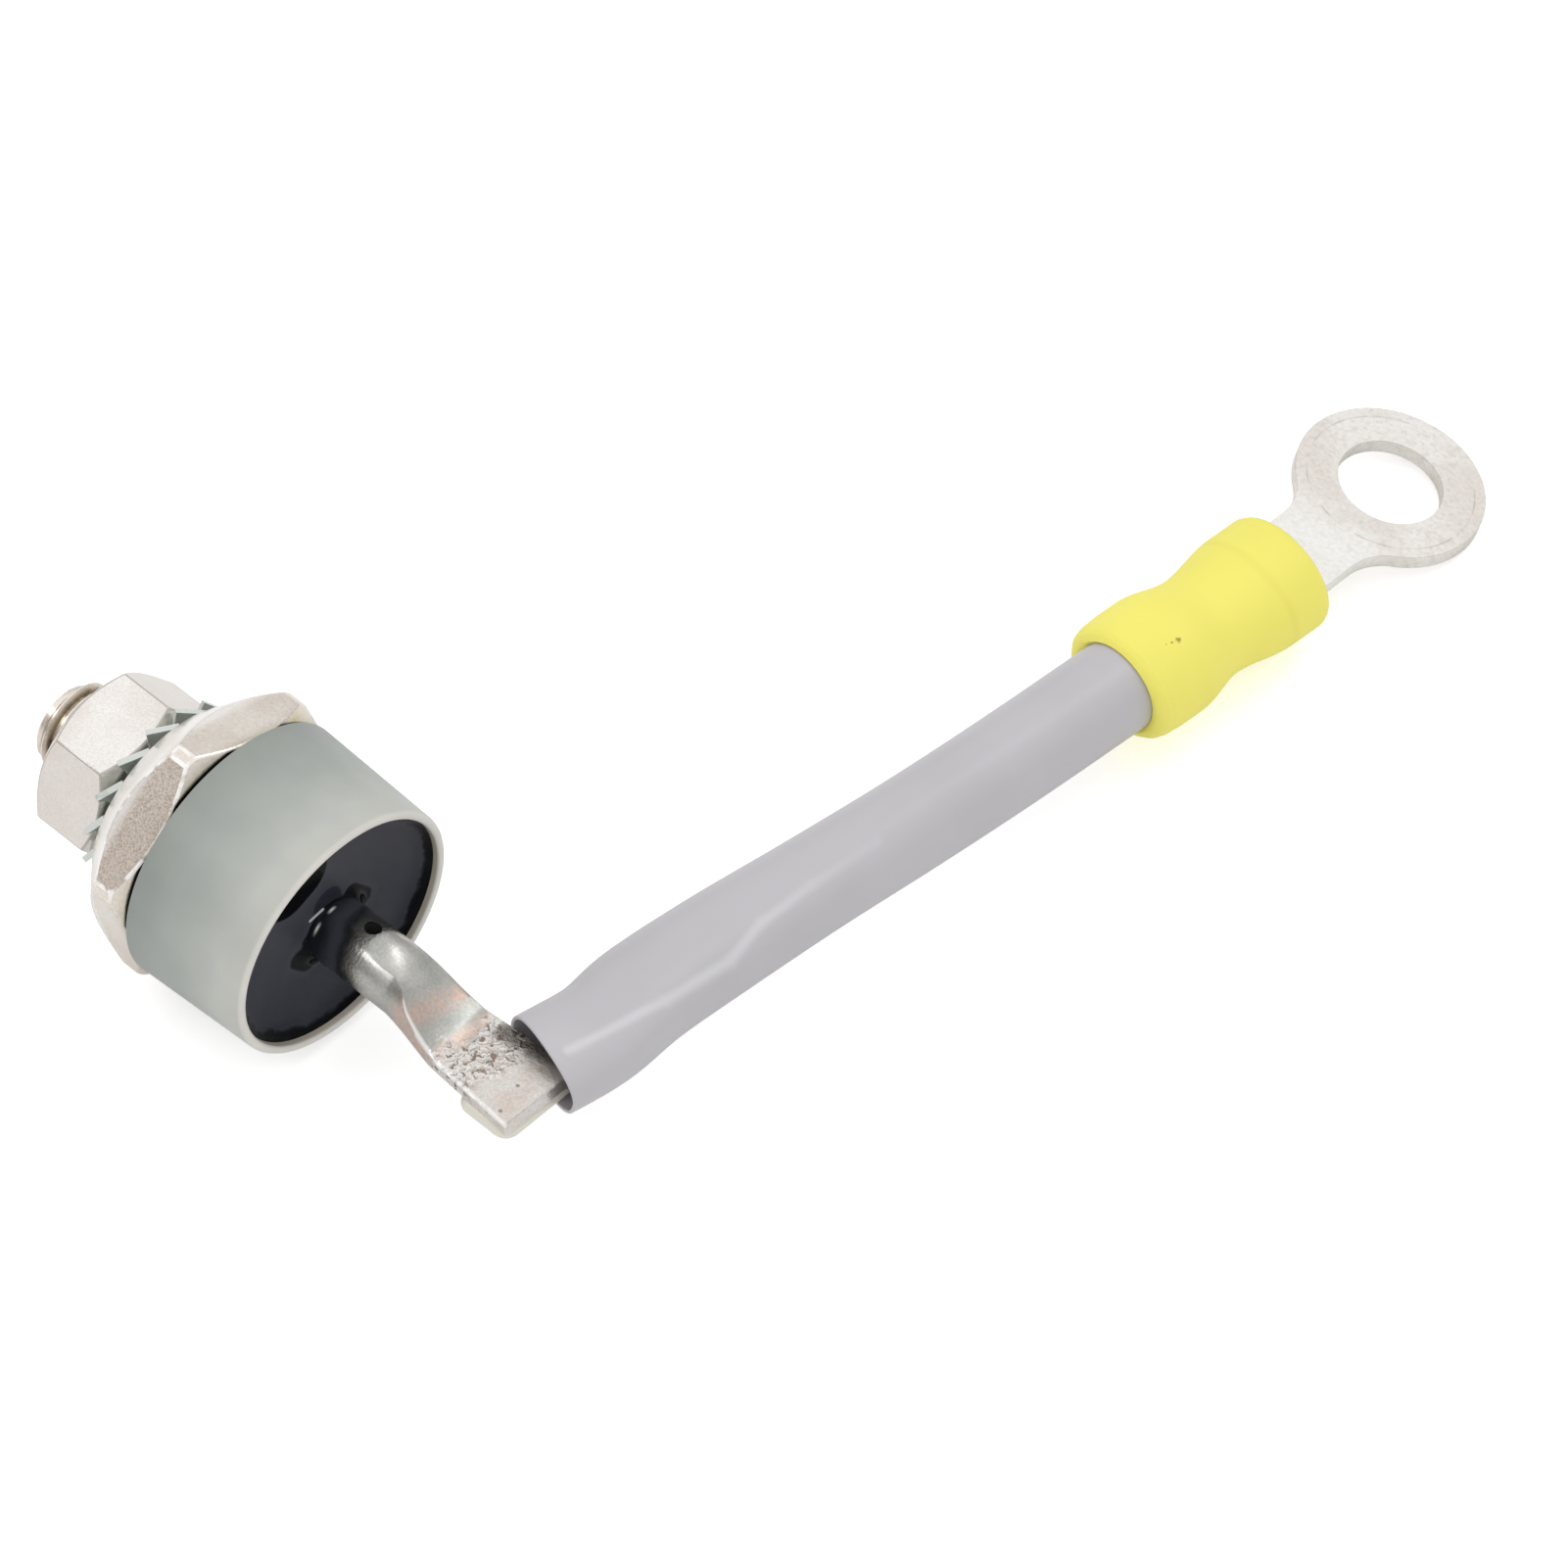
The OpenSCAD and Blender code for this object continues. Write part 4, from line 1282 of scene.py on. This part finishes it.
@dataclass
class Fasteners(Assembly):
    """The nut and the toothed washer on the stud.

    A tooth's root and tip are (radius, half its width), and it is twisted in
    full by a share of its length.
    """

    across: float = 10.4
    turn: float = 72.0
    low: float = -11.76
    high: float = -6.56
    bore: float = 2.75
    mouth: float = 3.35
    start: float = 5.05
    reach: float = 6.6
    slope: float = 36.0
    rounding: float = 0.1
    middle: float = -5.88
    sheet: float = 0.4
    hole: float = 3.25
    ring: float = 4.8
    root: Pair = (4.4, 0.8)
    tip: Pair = (6.45, 1.05)
    twist: float = 31.0
    twist_by: float = 0.625
    teeth: int = 16

    def nut(self) -> Shape:
        """Hexagon nut with turned corners and a countersunk bore."""
        run = (self.reach - self.start) * math.tan(math.radians(self.slope))
        profile = [(self.low + self.mouth - self.bore, self.bore), (self.low, self.mouth)]
        profile += [(self.low, self.start), (self.low + run, self.reach)]
        profile += [(self.high - run, self.reach), (self.high, self.start), (self.high, self.bore)]
        body = Forge.lathe(profile, steps=192, closed=True)
        return Forge.hexagon(body, self.across, self.turn, (self.low, self.high), self.rounding)

    def tooth(self) -> Shape:
        """One tooth at the top of the washer, twisted about its radius."""
        bm = bmesh.new()
        mark = bm.faces.layers.float.new(EDGE)
        bmesh.ops.create_grid(bm, x_segments=4, y_segments=5, size=1.0)
        bmesh.ops.solidify(bm, geom=bm.faces, thickness=self.sheet)
        bmesh.ops.recalc_face_normals(bm, faces=bm.faces)
        for face in bm.faces:
            face[mark] = float(abs(face.normal.z) < 0.5)
        level = min(v.co.z for v in bm.verts)
        for vert in bm.verts:
            out = (vert.co.y + 1.0) / 2
            radius = blend(self.root[0], self.tip[0], out)
            wide = blend(self.root[1], self.tip[1], out) * vert.co.x
            thick = vert.co.z - level - self.sheet / 2
            twist = math.radians(self.twist) * ease(out / self.twist_by)
            c, s = math.cos(twist), math.sin(twist)
            vert.co = (self.middle + wide * s + thick * c, wide * c - thick * s, radius)
        return bm

    def washer(self) -> Shape:
        """A thin ring with twisted teeth all round, pale on their edges."""
        low, high = self.middle - self.sheet / 2, self.middle + self.sheet / 2
        profile = [(low, self.hole), (low, self.ring), (high, self.ring), (high, self.hole)]
        bm = Forge.lathe(profile, steps=96, closed=True)
        bm.faces.layers.float.new(EDGE)
        for i in range(self.teeth):
            tooth = self.tooth()
            turn = Matrix.Rotation(math.tau * i / self.teeth, 3, "X")
            bmesh.ops.rotate(tooth, verts=tooth.verts, matrix=turn)
            Forge.join(bm, tooth)
        return bm

    def build(self) -> None:
        """Both pieces."""
        self.settle(self.nut(), "nut", "bright_nickel", "hex_nut", crease=28.0)
        self.settle(self.washer(), "washer", "zinc_plate", "lock_washer")


@dataclass
class Cup(Assembly):
    """The moulded housing and the resin cast in it.

    The wall's fillet changes by waves of (height, count, phase) about the axis.
    """

    foot: float = 9.1
    rim: float = 8.75
    bore: float = 8.15
    length: float = 9.4
    rim_rounding: float = 0.28
    bore_rounding: float = 0.2
    resin: float = 8.4
    climb: float = 0.5
    fillet: float = 1.15
    waves: tuple[tuple[float, int, int], ...] = ((0.25, 3, 1), (0.15, 7, 2))
    post: float = 2.2
    post_climb: float = 0.55
    post_fillet: float = 0.8
    low_side: float = 300.0
    low_more: float = 0.9
    rows: int = 40

    def housing(self) -> Shape:
        """The turned cup with a rounded rim."""
        top = self.length
        profile = [(0.0, self.foot), (top, self.rim), (top, self.bore), (0.0, self.bore)]
        bm = Forge.lathe(profile, steps=160, closed=True)
        Forge.round_edges(bm, Forge.on_ring(top, self.rim), self.rim_rounding, segments=4)
        Forge.round_edges(bm, Forge.on_ring(top, self.bore), self.bore_rounding, segments=3)
        return bm

    def level(self, radius: float, angle: float) -> float:
        """The resin's surface: it climbs at the wall and about the post.

        Args:
            radius: Distance from the axis.
            angle: Turn from +Y towards +Z, in radians.

        Returns:
            The x of the surface.
        """
        reach = self.fillet
        for height, count, phase in self.waves:
            reach += height * math.sin(count * angle + phase)
        wall = max(0.0, 1.0 - (self.bore - radius) / reach)
        near = max(0.0, 1.0 - (radius - self.post) / self.post_fillet)
        low = math.cos(angle - math.radians(self.low_side))
        climb = self.post_climb * (1.0 + self.low_more * low)
        return self.resin + self.climb * wall**2 + climb * near**2

    def fill(self) -> Shape:
        """The resin, as a turned disc whose surface is then shaped."""
        profile = [(0.0, self.post), (0.0, self.bore)]
        profile += [(self.resin, radius) for radius in spread(self.bore, self.post, self.rows)]
        bm = Forge.lathe(profile, steps=144, closed=True)
        for vert in bm.verts:
            if vert.co.x > self.resin / 2:
                vert.co.x = self.level(off_axis(vert.co), math.atan2(vert.co.z, vert.co.y))
        return bm

    def build(self) -> None:
        """Both pieces."""
        self.settle(self.housing(), "cup", "housing_plastic", "housing")
        self.settle(self.fill(), "resin", "potting_resin", "potting", crease=60.0)


@dataclass
class Terminal(Assembly):
    """The round post, pinched to a flat blade.

    Left and right are where the roof's eaves start and stop to sink, and the
    height they start from.
    """

    radius: float = 2.2
    foot: float = 2.56
    foot_radius: float = 3.6
    foot_height: float = 0.8
    straight: Pair = (9.0, 11.0)
    pinch: float = 14.9
    flat: float = 19.1
    left: Triple = (16.0, 19.9, 1.85)
    right: Triple = (12.1, 18.9, 1.6)
    eased: float = 0.4
    end: float = 26.1
    half: Pair = (2.5, 3.05)
    taller: float = 0.15
    boxy: float = 0.72
    under: float = -2.2
    top: float = -1.0
    chamfer: float = 0.08
    chamfer_run: float = 1.5
    crease_start: float = 0.4
    vent_at: float = 11.6
    vent_turn: float = 79.0
    vent_radius: float = 0.55
    vent_depth: float = 2.0
    flank: int = 88
    roof: int = 24
    pinch_rows: int = 48
    blade_rows: int = 8

    def turned(self, x: float, radius: float) -> list[Vector]:
        """One ring of the round part, the flank's points first."""
        low = math.asin(self.right[2] / self.radius)
        high = math.pi - math.asin(self.left[2] / self.radius)
        turns = spread(low, high - math.tau, self.flank) + spread(high, low, self.roof)
        return [polar(x, radius, q) for q in turns]

    def section(self, x: float, inset: float = 0.0) -> list[Vector]:
        """One section of the pressed part: a round flank under a roof.

        The roof starts as the round top. It sinks sooner on the right than
        on the left, so the crease on the left starts as a high ridge.

        Args:
            x: Place along the axis.
            inset: How far inside the outline.

        Returns:
            Its ring of points, the flank's first and then the roof's.
        """
        pressed = clamp((x - self.pinch) / (self.flat - self.pinch))
        blade = max(0.0, (x - self.flat) / (self.end - self.flat))
        wide = blend(blend(self.radius, self.half[0], ease(pressed)), self.half[1], blade) - inset
        tall = self.radius * (1.0 + self.taller * pressed)
        power = 1.0 - self.boxy * pressed
        drop = self.chamfer * ease((x - self.left[0]) / self.chamfer_run)

        def lean(start: float, stop: float, height: float) -> float:
            """The angle at which the flank ends on one side."""
            share = clamp((x - start) / (stop - start))
            fall = blend(share, ease(share), self.eased)
            eaves = blend(height, self.top, fall) - inset - drop
            steep = min(1.0, abs(eaves) / tall) ** (1.0 / power)
            return math.asin(math.copysign(steep, eaves))

        low, high = lean(*self.right), math.pi - lean(*self.left)
        ring = []
        for q in spread(low, high - math.tau, self.flank):
            z = tall * swell(math.sin(q), power)
            ring.append(Vector((x, wide * swell(math.cos(q), power), max(self.under + inset, z))))
        first, last = ring[-1] + Vector((0, drop, drop)), ring[0] + Vector((0, -drop, drop))
        round_share = 1.0 - ease((x - self.right[0]) / (self.left[0] - self.right[0]))
        for k, q in enumerate(spread(high, low, self.roof)):
            ring.append(first.lerp(last, k / self.roof).lerp(polar(x, self.radius, q), round_share))
        return ring

    def build(self) -> None:
        """Foot, tube, pinch and blade in one skin, with the vent cut in."""
        places = spread(self.right[0], self.left[1], self.pinch_rows)
        places += spread(self.left[1], self.end - self.chamfer, self.blade_rows)[1:]
        step = self.foot + self.foot_height
        rings = [self.turned(x, self.foot_radius) for x in (self.foot, step)]
        rings += [self.turned(x, self.radius) for x in (step, *self.straight)]
        creased = len(rings) + sum(x < self.left[0] + self.crease_start for x in places)
        rings += [self.section(x) for x in places]
        rings.append(self.section(self.end, self.chamfer))

        def edge_mark(row: int, spot: int) -> bool:
            """On the roof's crease at the camera's side, once it is sharp: a painted highlight with
            wear.
            """
            return row >= creased and spot in (self.flank, self.flank + 1)

        drill = Forge.bar(self.vent_radius, self.vent_depth, sides=32)
        side = Matrix.Rotation(math.radians(self.vent_turn - 90.0), 4, "X")
        up = Matrix.Translation((0.0, 0.0, self.vent_depth))
        pose = Matrix.Translation((self.vent_at, 0.0, 0.0)) @ side @ up
        bmesh.ops.transform(drill, matrix=pose, verts=drill.verts)
        made = Forge.combine(Forge.loft(rings, edge_mark=edge_mark), drill, Join.DIFFERENCE)
        self.settle(made, "post", "tinned_copper", "terminal_tube", crease=30.0)


@dataclass
class Lead(Assembly):
    """The sleeved lead: conductor, sleeve, insulator and ring.

    The route's points each have half a width, half a height and a wall. Places
    along the route are counted in its points: the bend, roll and boxy form of
    the mouth end by theirs. The insulator's outline is points of (place,
    radius), and its bores and its squeeze are (radius, place or run).
    """

    route: tuple[Triple, ...] = (
        (18.55, 1.97, 8.3),
        (18.75, 6.440, 7.45),
        (18.514, 10.629, 7.25),
        (18.822, 16.681, 6.85),
        (19.523, 24.129, 6.471),
        (20.356, 32.043, 6.131),
        (20.988, 39.957, 5.792),
        (21.484, 48.802, 5.412),
        (21.564, 53.384, 5.011),
    )
    half_wide: tuple[float, ...] = (3.4, 3.5, 3.62, 3.505, 3.19, 3.05, 3.05, 3.05, 3.05)
    half_high: tuple[float, ...] = (1.9, 2.3, 2.53, 2.72, 2.91, 3.05, 3.05, 3.05, 3.05)
    walls: tuple[float, ...] = (0.22, 0.4, 0.575, 0.75, 0.75, 0.75, 0.75, 0.75, 0.75)
    yaw: float = 10.0
    roll: float = 18.5
    drop: float = 2.0
    boxy: float = 0.8
    bend_by: float = 0.8
    roll_by: float = 1.4
    boxy_by: float = 2.5
    look: float = 0.05
    count: int = 64
    rows: int = 64
    core_rows: int = 30
    path_rows: int = 48
    inner: tuple[float, ...] = (1.6, 1.2, 0.8, 0.5, 0.25, 0.1, 0.02)
    lip: Pair = (0.15, 0.06)
    outer_start: Pair = (0.02, 0.05)
    core_start: float = 1.4
    core_gap: float = 0.12
    strip: Triple = (4.4, 5.4, 0.87)
    strip_at: Triple = (18.13, -0.25, 6.975)
    strip_corner: float = 1.0
    strip_under: float = 0.3
    strip_top: float = 0.5
    outline: tuple[Pair, ...] = (
        (0.0, 3.3),
        (0.05, 3.6),
        (0.2, 3.95),
        (0.5, 4.2),
        (1.0, 4.33),
        (2.2, 4.4),
        (3.8, 4.4),
        (7.55, 3.7),
        (12.0, 4.3),
        (14.3, 4.3),
        (14.65, 4.15),
        (14.8, 3.8),
    )
    outline_row: float = 0.3
    barrel_bore: Pair = (2.75, 4.6)
    sleeve_bore: Pair = (3.07, 0.12)
    squeeze: float = 0.86
    squeeze_radius: Pair = (3.1, 0.6)
    heading: Triple = (0.0174, 0.9960, -0.0872)
    ring_sharp: float = 40.0
    ring_rounding: float = 0.14

    @property
    def last(self) -> float:
        """The route's end, counted in its points."""
        return len(self.route) - 1.0

    def spline(self, rows: Sequence[Sequence[float]], at: float) -> list[float]:
        """A smooth curve through rows, read at a place from 0 to the last."""
        last = len(rows) - 1
        i = min(int(at), last - 1)
        t = at - i
        near = [rows[min(last, max(0, i + k))] for k in (-1, 0, 1, 2)]

        def curve(a: float, b: float, c: float, d: float) -> float:
            """A cubic from b to c that heads along its neighbours."""
            bend = (2 * a - 5 * b + 4 * c - d) * t * t
            return 0.5 * (2 * b + (c - a) * t + bend + (3 * b - a - 3 * c + d) * t**3)

        return [curve(*values) for values in zip(*near)]

    def centre(self, at: float) -> Vector:
        """The lead's centreline."""
        return Vector(self.spline(self.route, at))

    def section(self, at: float, inset: float = 0.0, walls: float = 0.0) -> list[Vector]:
        """One section of the lead, boxy and rolled at its mouth.

        Args:
            at: Place along the route, counted in its points.
            inset: How far inside the outer skin, in millimetres.
            walls: How many wall thicknesses further in.

        Returns:
            Its ring of points.
        """
        mid = self.centre(at)
        run = self.centre(min(self.last, at + self.look)) - self.centre(max(0.0, at - self.look))
        y, d = math.radians(self.yaw), math.radians(self.drop)
        mouth = Vector((math.sin(y) * math.cos(d), math.cos(y) * math.cos(d), -math.sin(d)))
        run = run.normalized().lerp(mouth, 1.0 - ease(at / self.bend_by)).normalized()
        roll = math.radians(self.roll) * (1.0 - ease(at / self.roll_by))
        across = Matrix.Rotation(roll, 3, run) @ run.cross(Vector((0, 0, 1))).normalized()
        up = across.cross(run)
        sizes = list(zip(self.half_wide, self.half_high, self.walls))
        wide, high, wall = self.spline(sizes, at)
        less = inset + walls * wall
        power = blend(self.boxy, 1.0, ease(at / self.boxy_by))
        ring = []
        for i in range(self.count):
            q = math.tau * i / self.count
            side = across * (wide - less) * swell(math.cos(q), power)
            ring.append(mid + side + up * (high - less) * swell(math.sin(q), power))
        return ring

    def sleeve(self) -> bpy.types.Object:
        """The grey sleeve, open at the blade."""
        rings = [self.section(at, walls=1.0) for at in self.inner]
        rings += [self.section(0.0, inset) for inset in self.lip]
        start, body = self.outer_start
        rings += [self.section(at) for at in (start, *spread(body, self.last, self.rows))]
        bm = Forge.loft(rings, caps=False)
        ends = [edge for edge in bm.edges if len(edge.link_faces) == 1]
        middle = self.route[len(self.route) // 2][1]
        bmesh.ops.edgeloop_fill(bm, edges=[edge for edge in ends if edge.verts[0].co.y > middle])
        return self.settle(bm, "sleeve", "grey_vinyl", "lead_sleeve", ORIGIN, crease=40.0)

    def conductor(self) -> bpy.types.Object:
        """The tinned end under the blade and the core in the sleeve."""
        bm = bmesh.new()
        bmesh.ops.create_cube(bm, size=1.0)
        bmesh.ops.scale(bm, vec=self.strip, verts=bm.verts)
        bmesh.ops.translate(bm, vec=self.strip_at, verts=bm.verts)
        middle = Vector(self.strip_at)

        def corner(edge: Edge) -> bool:
            """An upright edge at the free end."""
            a, b = (vert.co for vert in edge.verts)
            return a.y < middle.y and (a.z > middle.z) != (b.z > middle.z)

        def face(upper: bool) -> EdgeTest:
            """A test for the edges round the top or the underside."""
            return lambda edge: all((vert.co.z > middle.z) == upper for vert in edge.verts)

        Forge.round_edges(bm, corner, self.strip_corner, segments=8)
        Forge.round_edges(bm, face(upper=False), self.strip_under, segments=4)
        Forge.round_edges(bm, face(upper=True), self.strip_top, segments=4)
        places = spread(self.core_start, self.last, self.core_rows)
        core = Forge.loft([self.section(at, self.core_gap, 1.0) for at in places])
        bm = Forge.join(bm, core)
        return self.settle(bm, "conductor", "copper_strand", "lead_conductor", ORIGIN)

    def insulator(self) -> bpy.types.Object:
        """The flared yellow insulator of the ring, squeezed from above."""
        end = self.outline[-1][0]
        even = {self.outline_row * i for i in range(math.ceil(end / self.outline_row))}
        spots = sorted({spot for spot, _ in self.outline} | even)
        profile: Profile = [(spot, along(self.outline, spot)) for spot in spots]
        narrow, step = self.barrel_bore
        bore, mouth = self.sleeve_bore
        profile += [(end, narrow), (step, narrow), (step, bore), (mouth, bore)]
        bm = Forge.lathe(profile, steps=96, closed=True)
        start, run = self.squeeze_radius
        for vert in bm.verts:
            vert.co.z *= blend(1.0, self.squeeze, ease((off_axis(vert.co) - start) / run))
        pose = Vector(self.heading).to_track_quat("X", "Z").to_matrix().to_4x4()
        bmesh.ops.transform(bm, matrix=pose, verts=bm.verts)
        at = Vector(self.route[-2])
        return self.settle(bm, "insulator", "yellow_vinyl", "terminal_insulator", at, crease=45.0)

    def ring(self) -> bpy.types.Object:
        """The ring terminal, its edges broken."""
        bm = Forge.node_copy("ring_terminal")
        Forge.round_edges(bm, Forge.sharper(self.ring_sharp), self.ring_rounding, segments=2)
        return self.settle(bm, "ring", "tin_plate", "ring_terminal", ORIGIN, crease=40.0)

    def build(self) -> None:
        """All four pieces, and the points along the sleeve's centreline."""
        sleeve = self.sleeve()
        others = [self.conductor(), self.insulator(), self.ring()]
        line = [self.centre(at) * MM for at in spread(0.0, self.last, self.path_rows)]


@dataclass
class Studio:
    """White floor, soft sky, two softboxes and the camera.

    Its own sizes are metres, and the lens is in millimetres. So is the
    camera's place from the flange's front: to the right, up and back.
    """

    floor_size: float = 4.0
    paper: Tone = (0.96, 0.96, 0.96, 1.0)
    glow: float = 0.45
    sky_from: Pair = (0.1, 0.8)
    horizon: float = 0.52
    zenith: float = 1.0
    box_aim: Triple = (0.01, 0.02, 0.0)
    box_size: float = 0.22
    box_away: float = 0.8
    box_power: float = 0.46
    lens: float = 379.7
    sensor: float = 36.0
    clip: Pair = (0.05, 20.0)
    camera_at: Triple = (33.28, 3.944, 1000.0)
    right: Triple = (0.7168, 0.6973, 0.0)
    down: Triple = (0.5438, -0.5590, -0.6260)
    back: Triple = (0.4365, -0.4487, 0.7798)

    def floor(self) -> None:
        """A white floor that keeps the object's shadow."""
        bm = bmesh.new()
        bmesh.ops.create_grid(bm, x_segments=1, y_segments=1, size=self.floor_size)
        paper = bpy.data.materials.new("Paper")
        paper.use_nodes = True
        paper.node_tree.nodes.clear()
        s = Sketch(paper.node_tree)
        left_facet_shade = s.add("ShaderNodeBsdfDiffuse", {"Color": self.paper})
        seen = s.add("ShaderNodeLightPath").outputs["Is Camera Ray"]
        glow = s.add("ShaderNodeEmission", {"Strength": s.both(seen, self.glow)})
        sheet = s.add("ShaderNodeAddShader", {0: left_facet_shade.outputs[0], 1: glow.outputs[0]})
        s.add("ShaderNodeOutputMaterial", {0: sheet.outputs[0]})
        data = as_mesh("floor", bm)
        data.materials.append(paper)
        stand("floor", data)

    def heaven(self) -> None:
        """A sky that pales upwards, white where the camera sees it."""
        world = bpy.data.worlds.new("Sky")
        bpy.context.scene.world = world
        world.use_nodes = True
        world.node_tree.nodes.clear()
        s = Sketch(world.node_tree)
        seen = s.add("ShaderNodeLightPath").outputs["Is Camera Ray"]
        way = s.add("ShaderNodeTexCoord").outputs["Generated"]
        sky = s.span(s.parts(way)[2], *self.sky_from, self.horizon, self.zenith)
        back = s.add("ShaderNodeBackground", {0: grey(255), 1: s.either(sky, seen)})
        s.add("ShaderNodeOutputWorld", {0: back.outputs[0]})

    def softbox(self, name: str, towards: Triple) -> None:
        """A square softbox in a direction from the object."""
        data = bpy.data.lights.new(name, "AREA")
        data.shape, data.size, data.energy = "SQUARE", self.box_size, self.box_power
        item = stand(name, data)
        way = Vector(towards).normalized()
        item.location = Vector(self.box_aim) + way * self.box_away
        item.rotation_mode = "QUATERNION"
        item.rotation_quaternion = way.to_track_quat("Z", "Y")

    def camera(self) -> None:
        """The camera at the picture's angle."""
        data = bpy.data.cameras.new("camera")
        data.lens, data.sensor_width = self.lens, self.sensor
        data.clip_start, data.clip_end = self.clip
        item = stand("camera", data)
        axes = [Vector(self.right), -Vector(self.down), Vector(self.back)]
        spot = AXIS.copy()
        for axis, length in zip(axes, self.camera_at):
            spot += axis * length
        turn = Matrix(axes).transposed()
        item.matrix_world = Matrix.Translation(spot * MM) @ turn.to_4x4()
        bpy.context.scene.camera = item

    def build(self) -> None:
        """Everything about the object."""
        self.floor()
        self.heaven()
        self.softbox("left_box", (-0.44, -0.54, 0.72))
        self.softbox("right_box", (0.12, 0.62, 0.77))
        self.camera()
        bpy.context.scene.view_settings.view_transform = "Standard"


def main() -> None:
    """Builds the diode and its studio."""
    logging.basicConfig(level=logging.INFO, format="%(name)s %(message)s")
    wardrobe = Wardrobe()
    wardrobe.dress_nodes()
    for kind in (StudBase, Fasteners, Cup, Terminal, Lead):
        kind(wardrobe).build()
        LOG.info("%s built", kind.__name__)
    Studio().build()


if __name__ == "__main__":
    main()
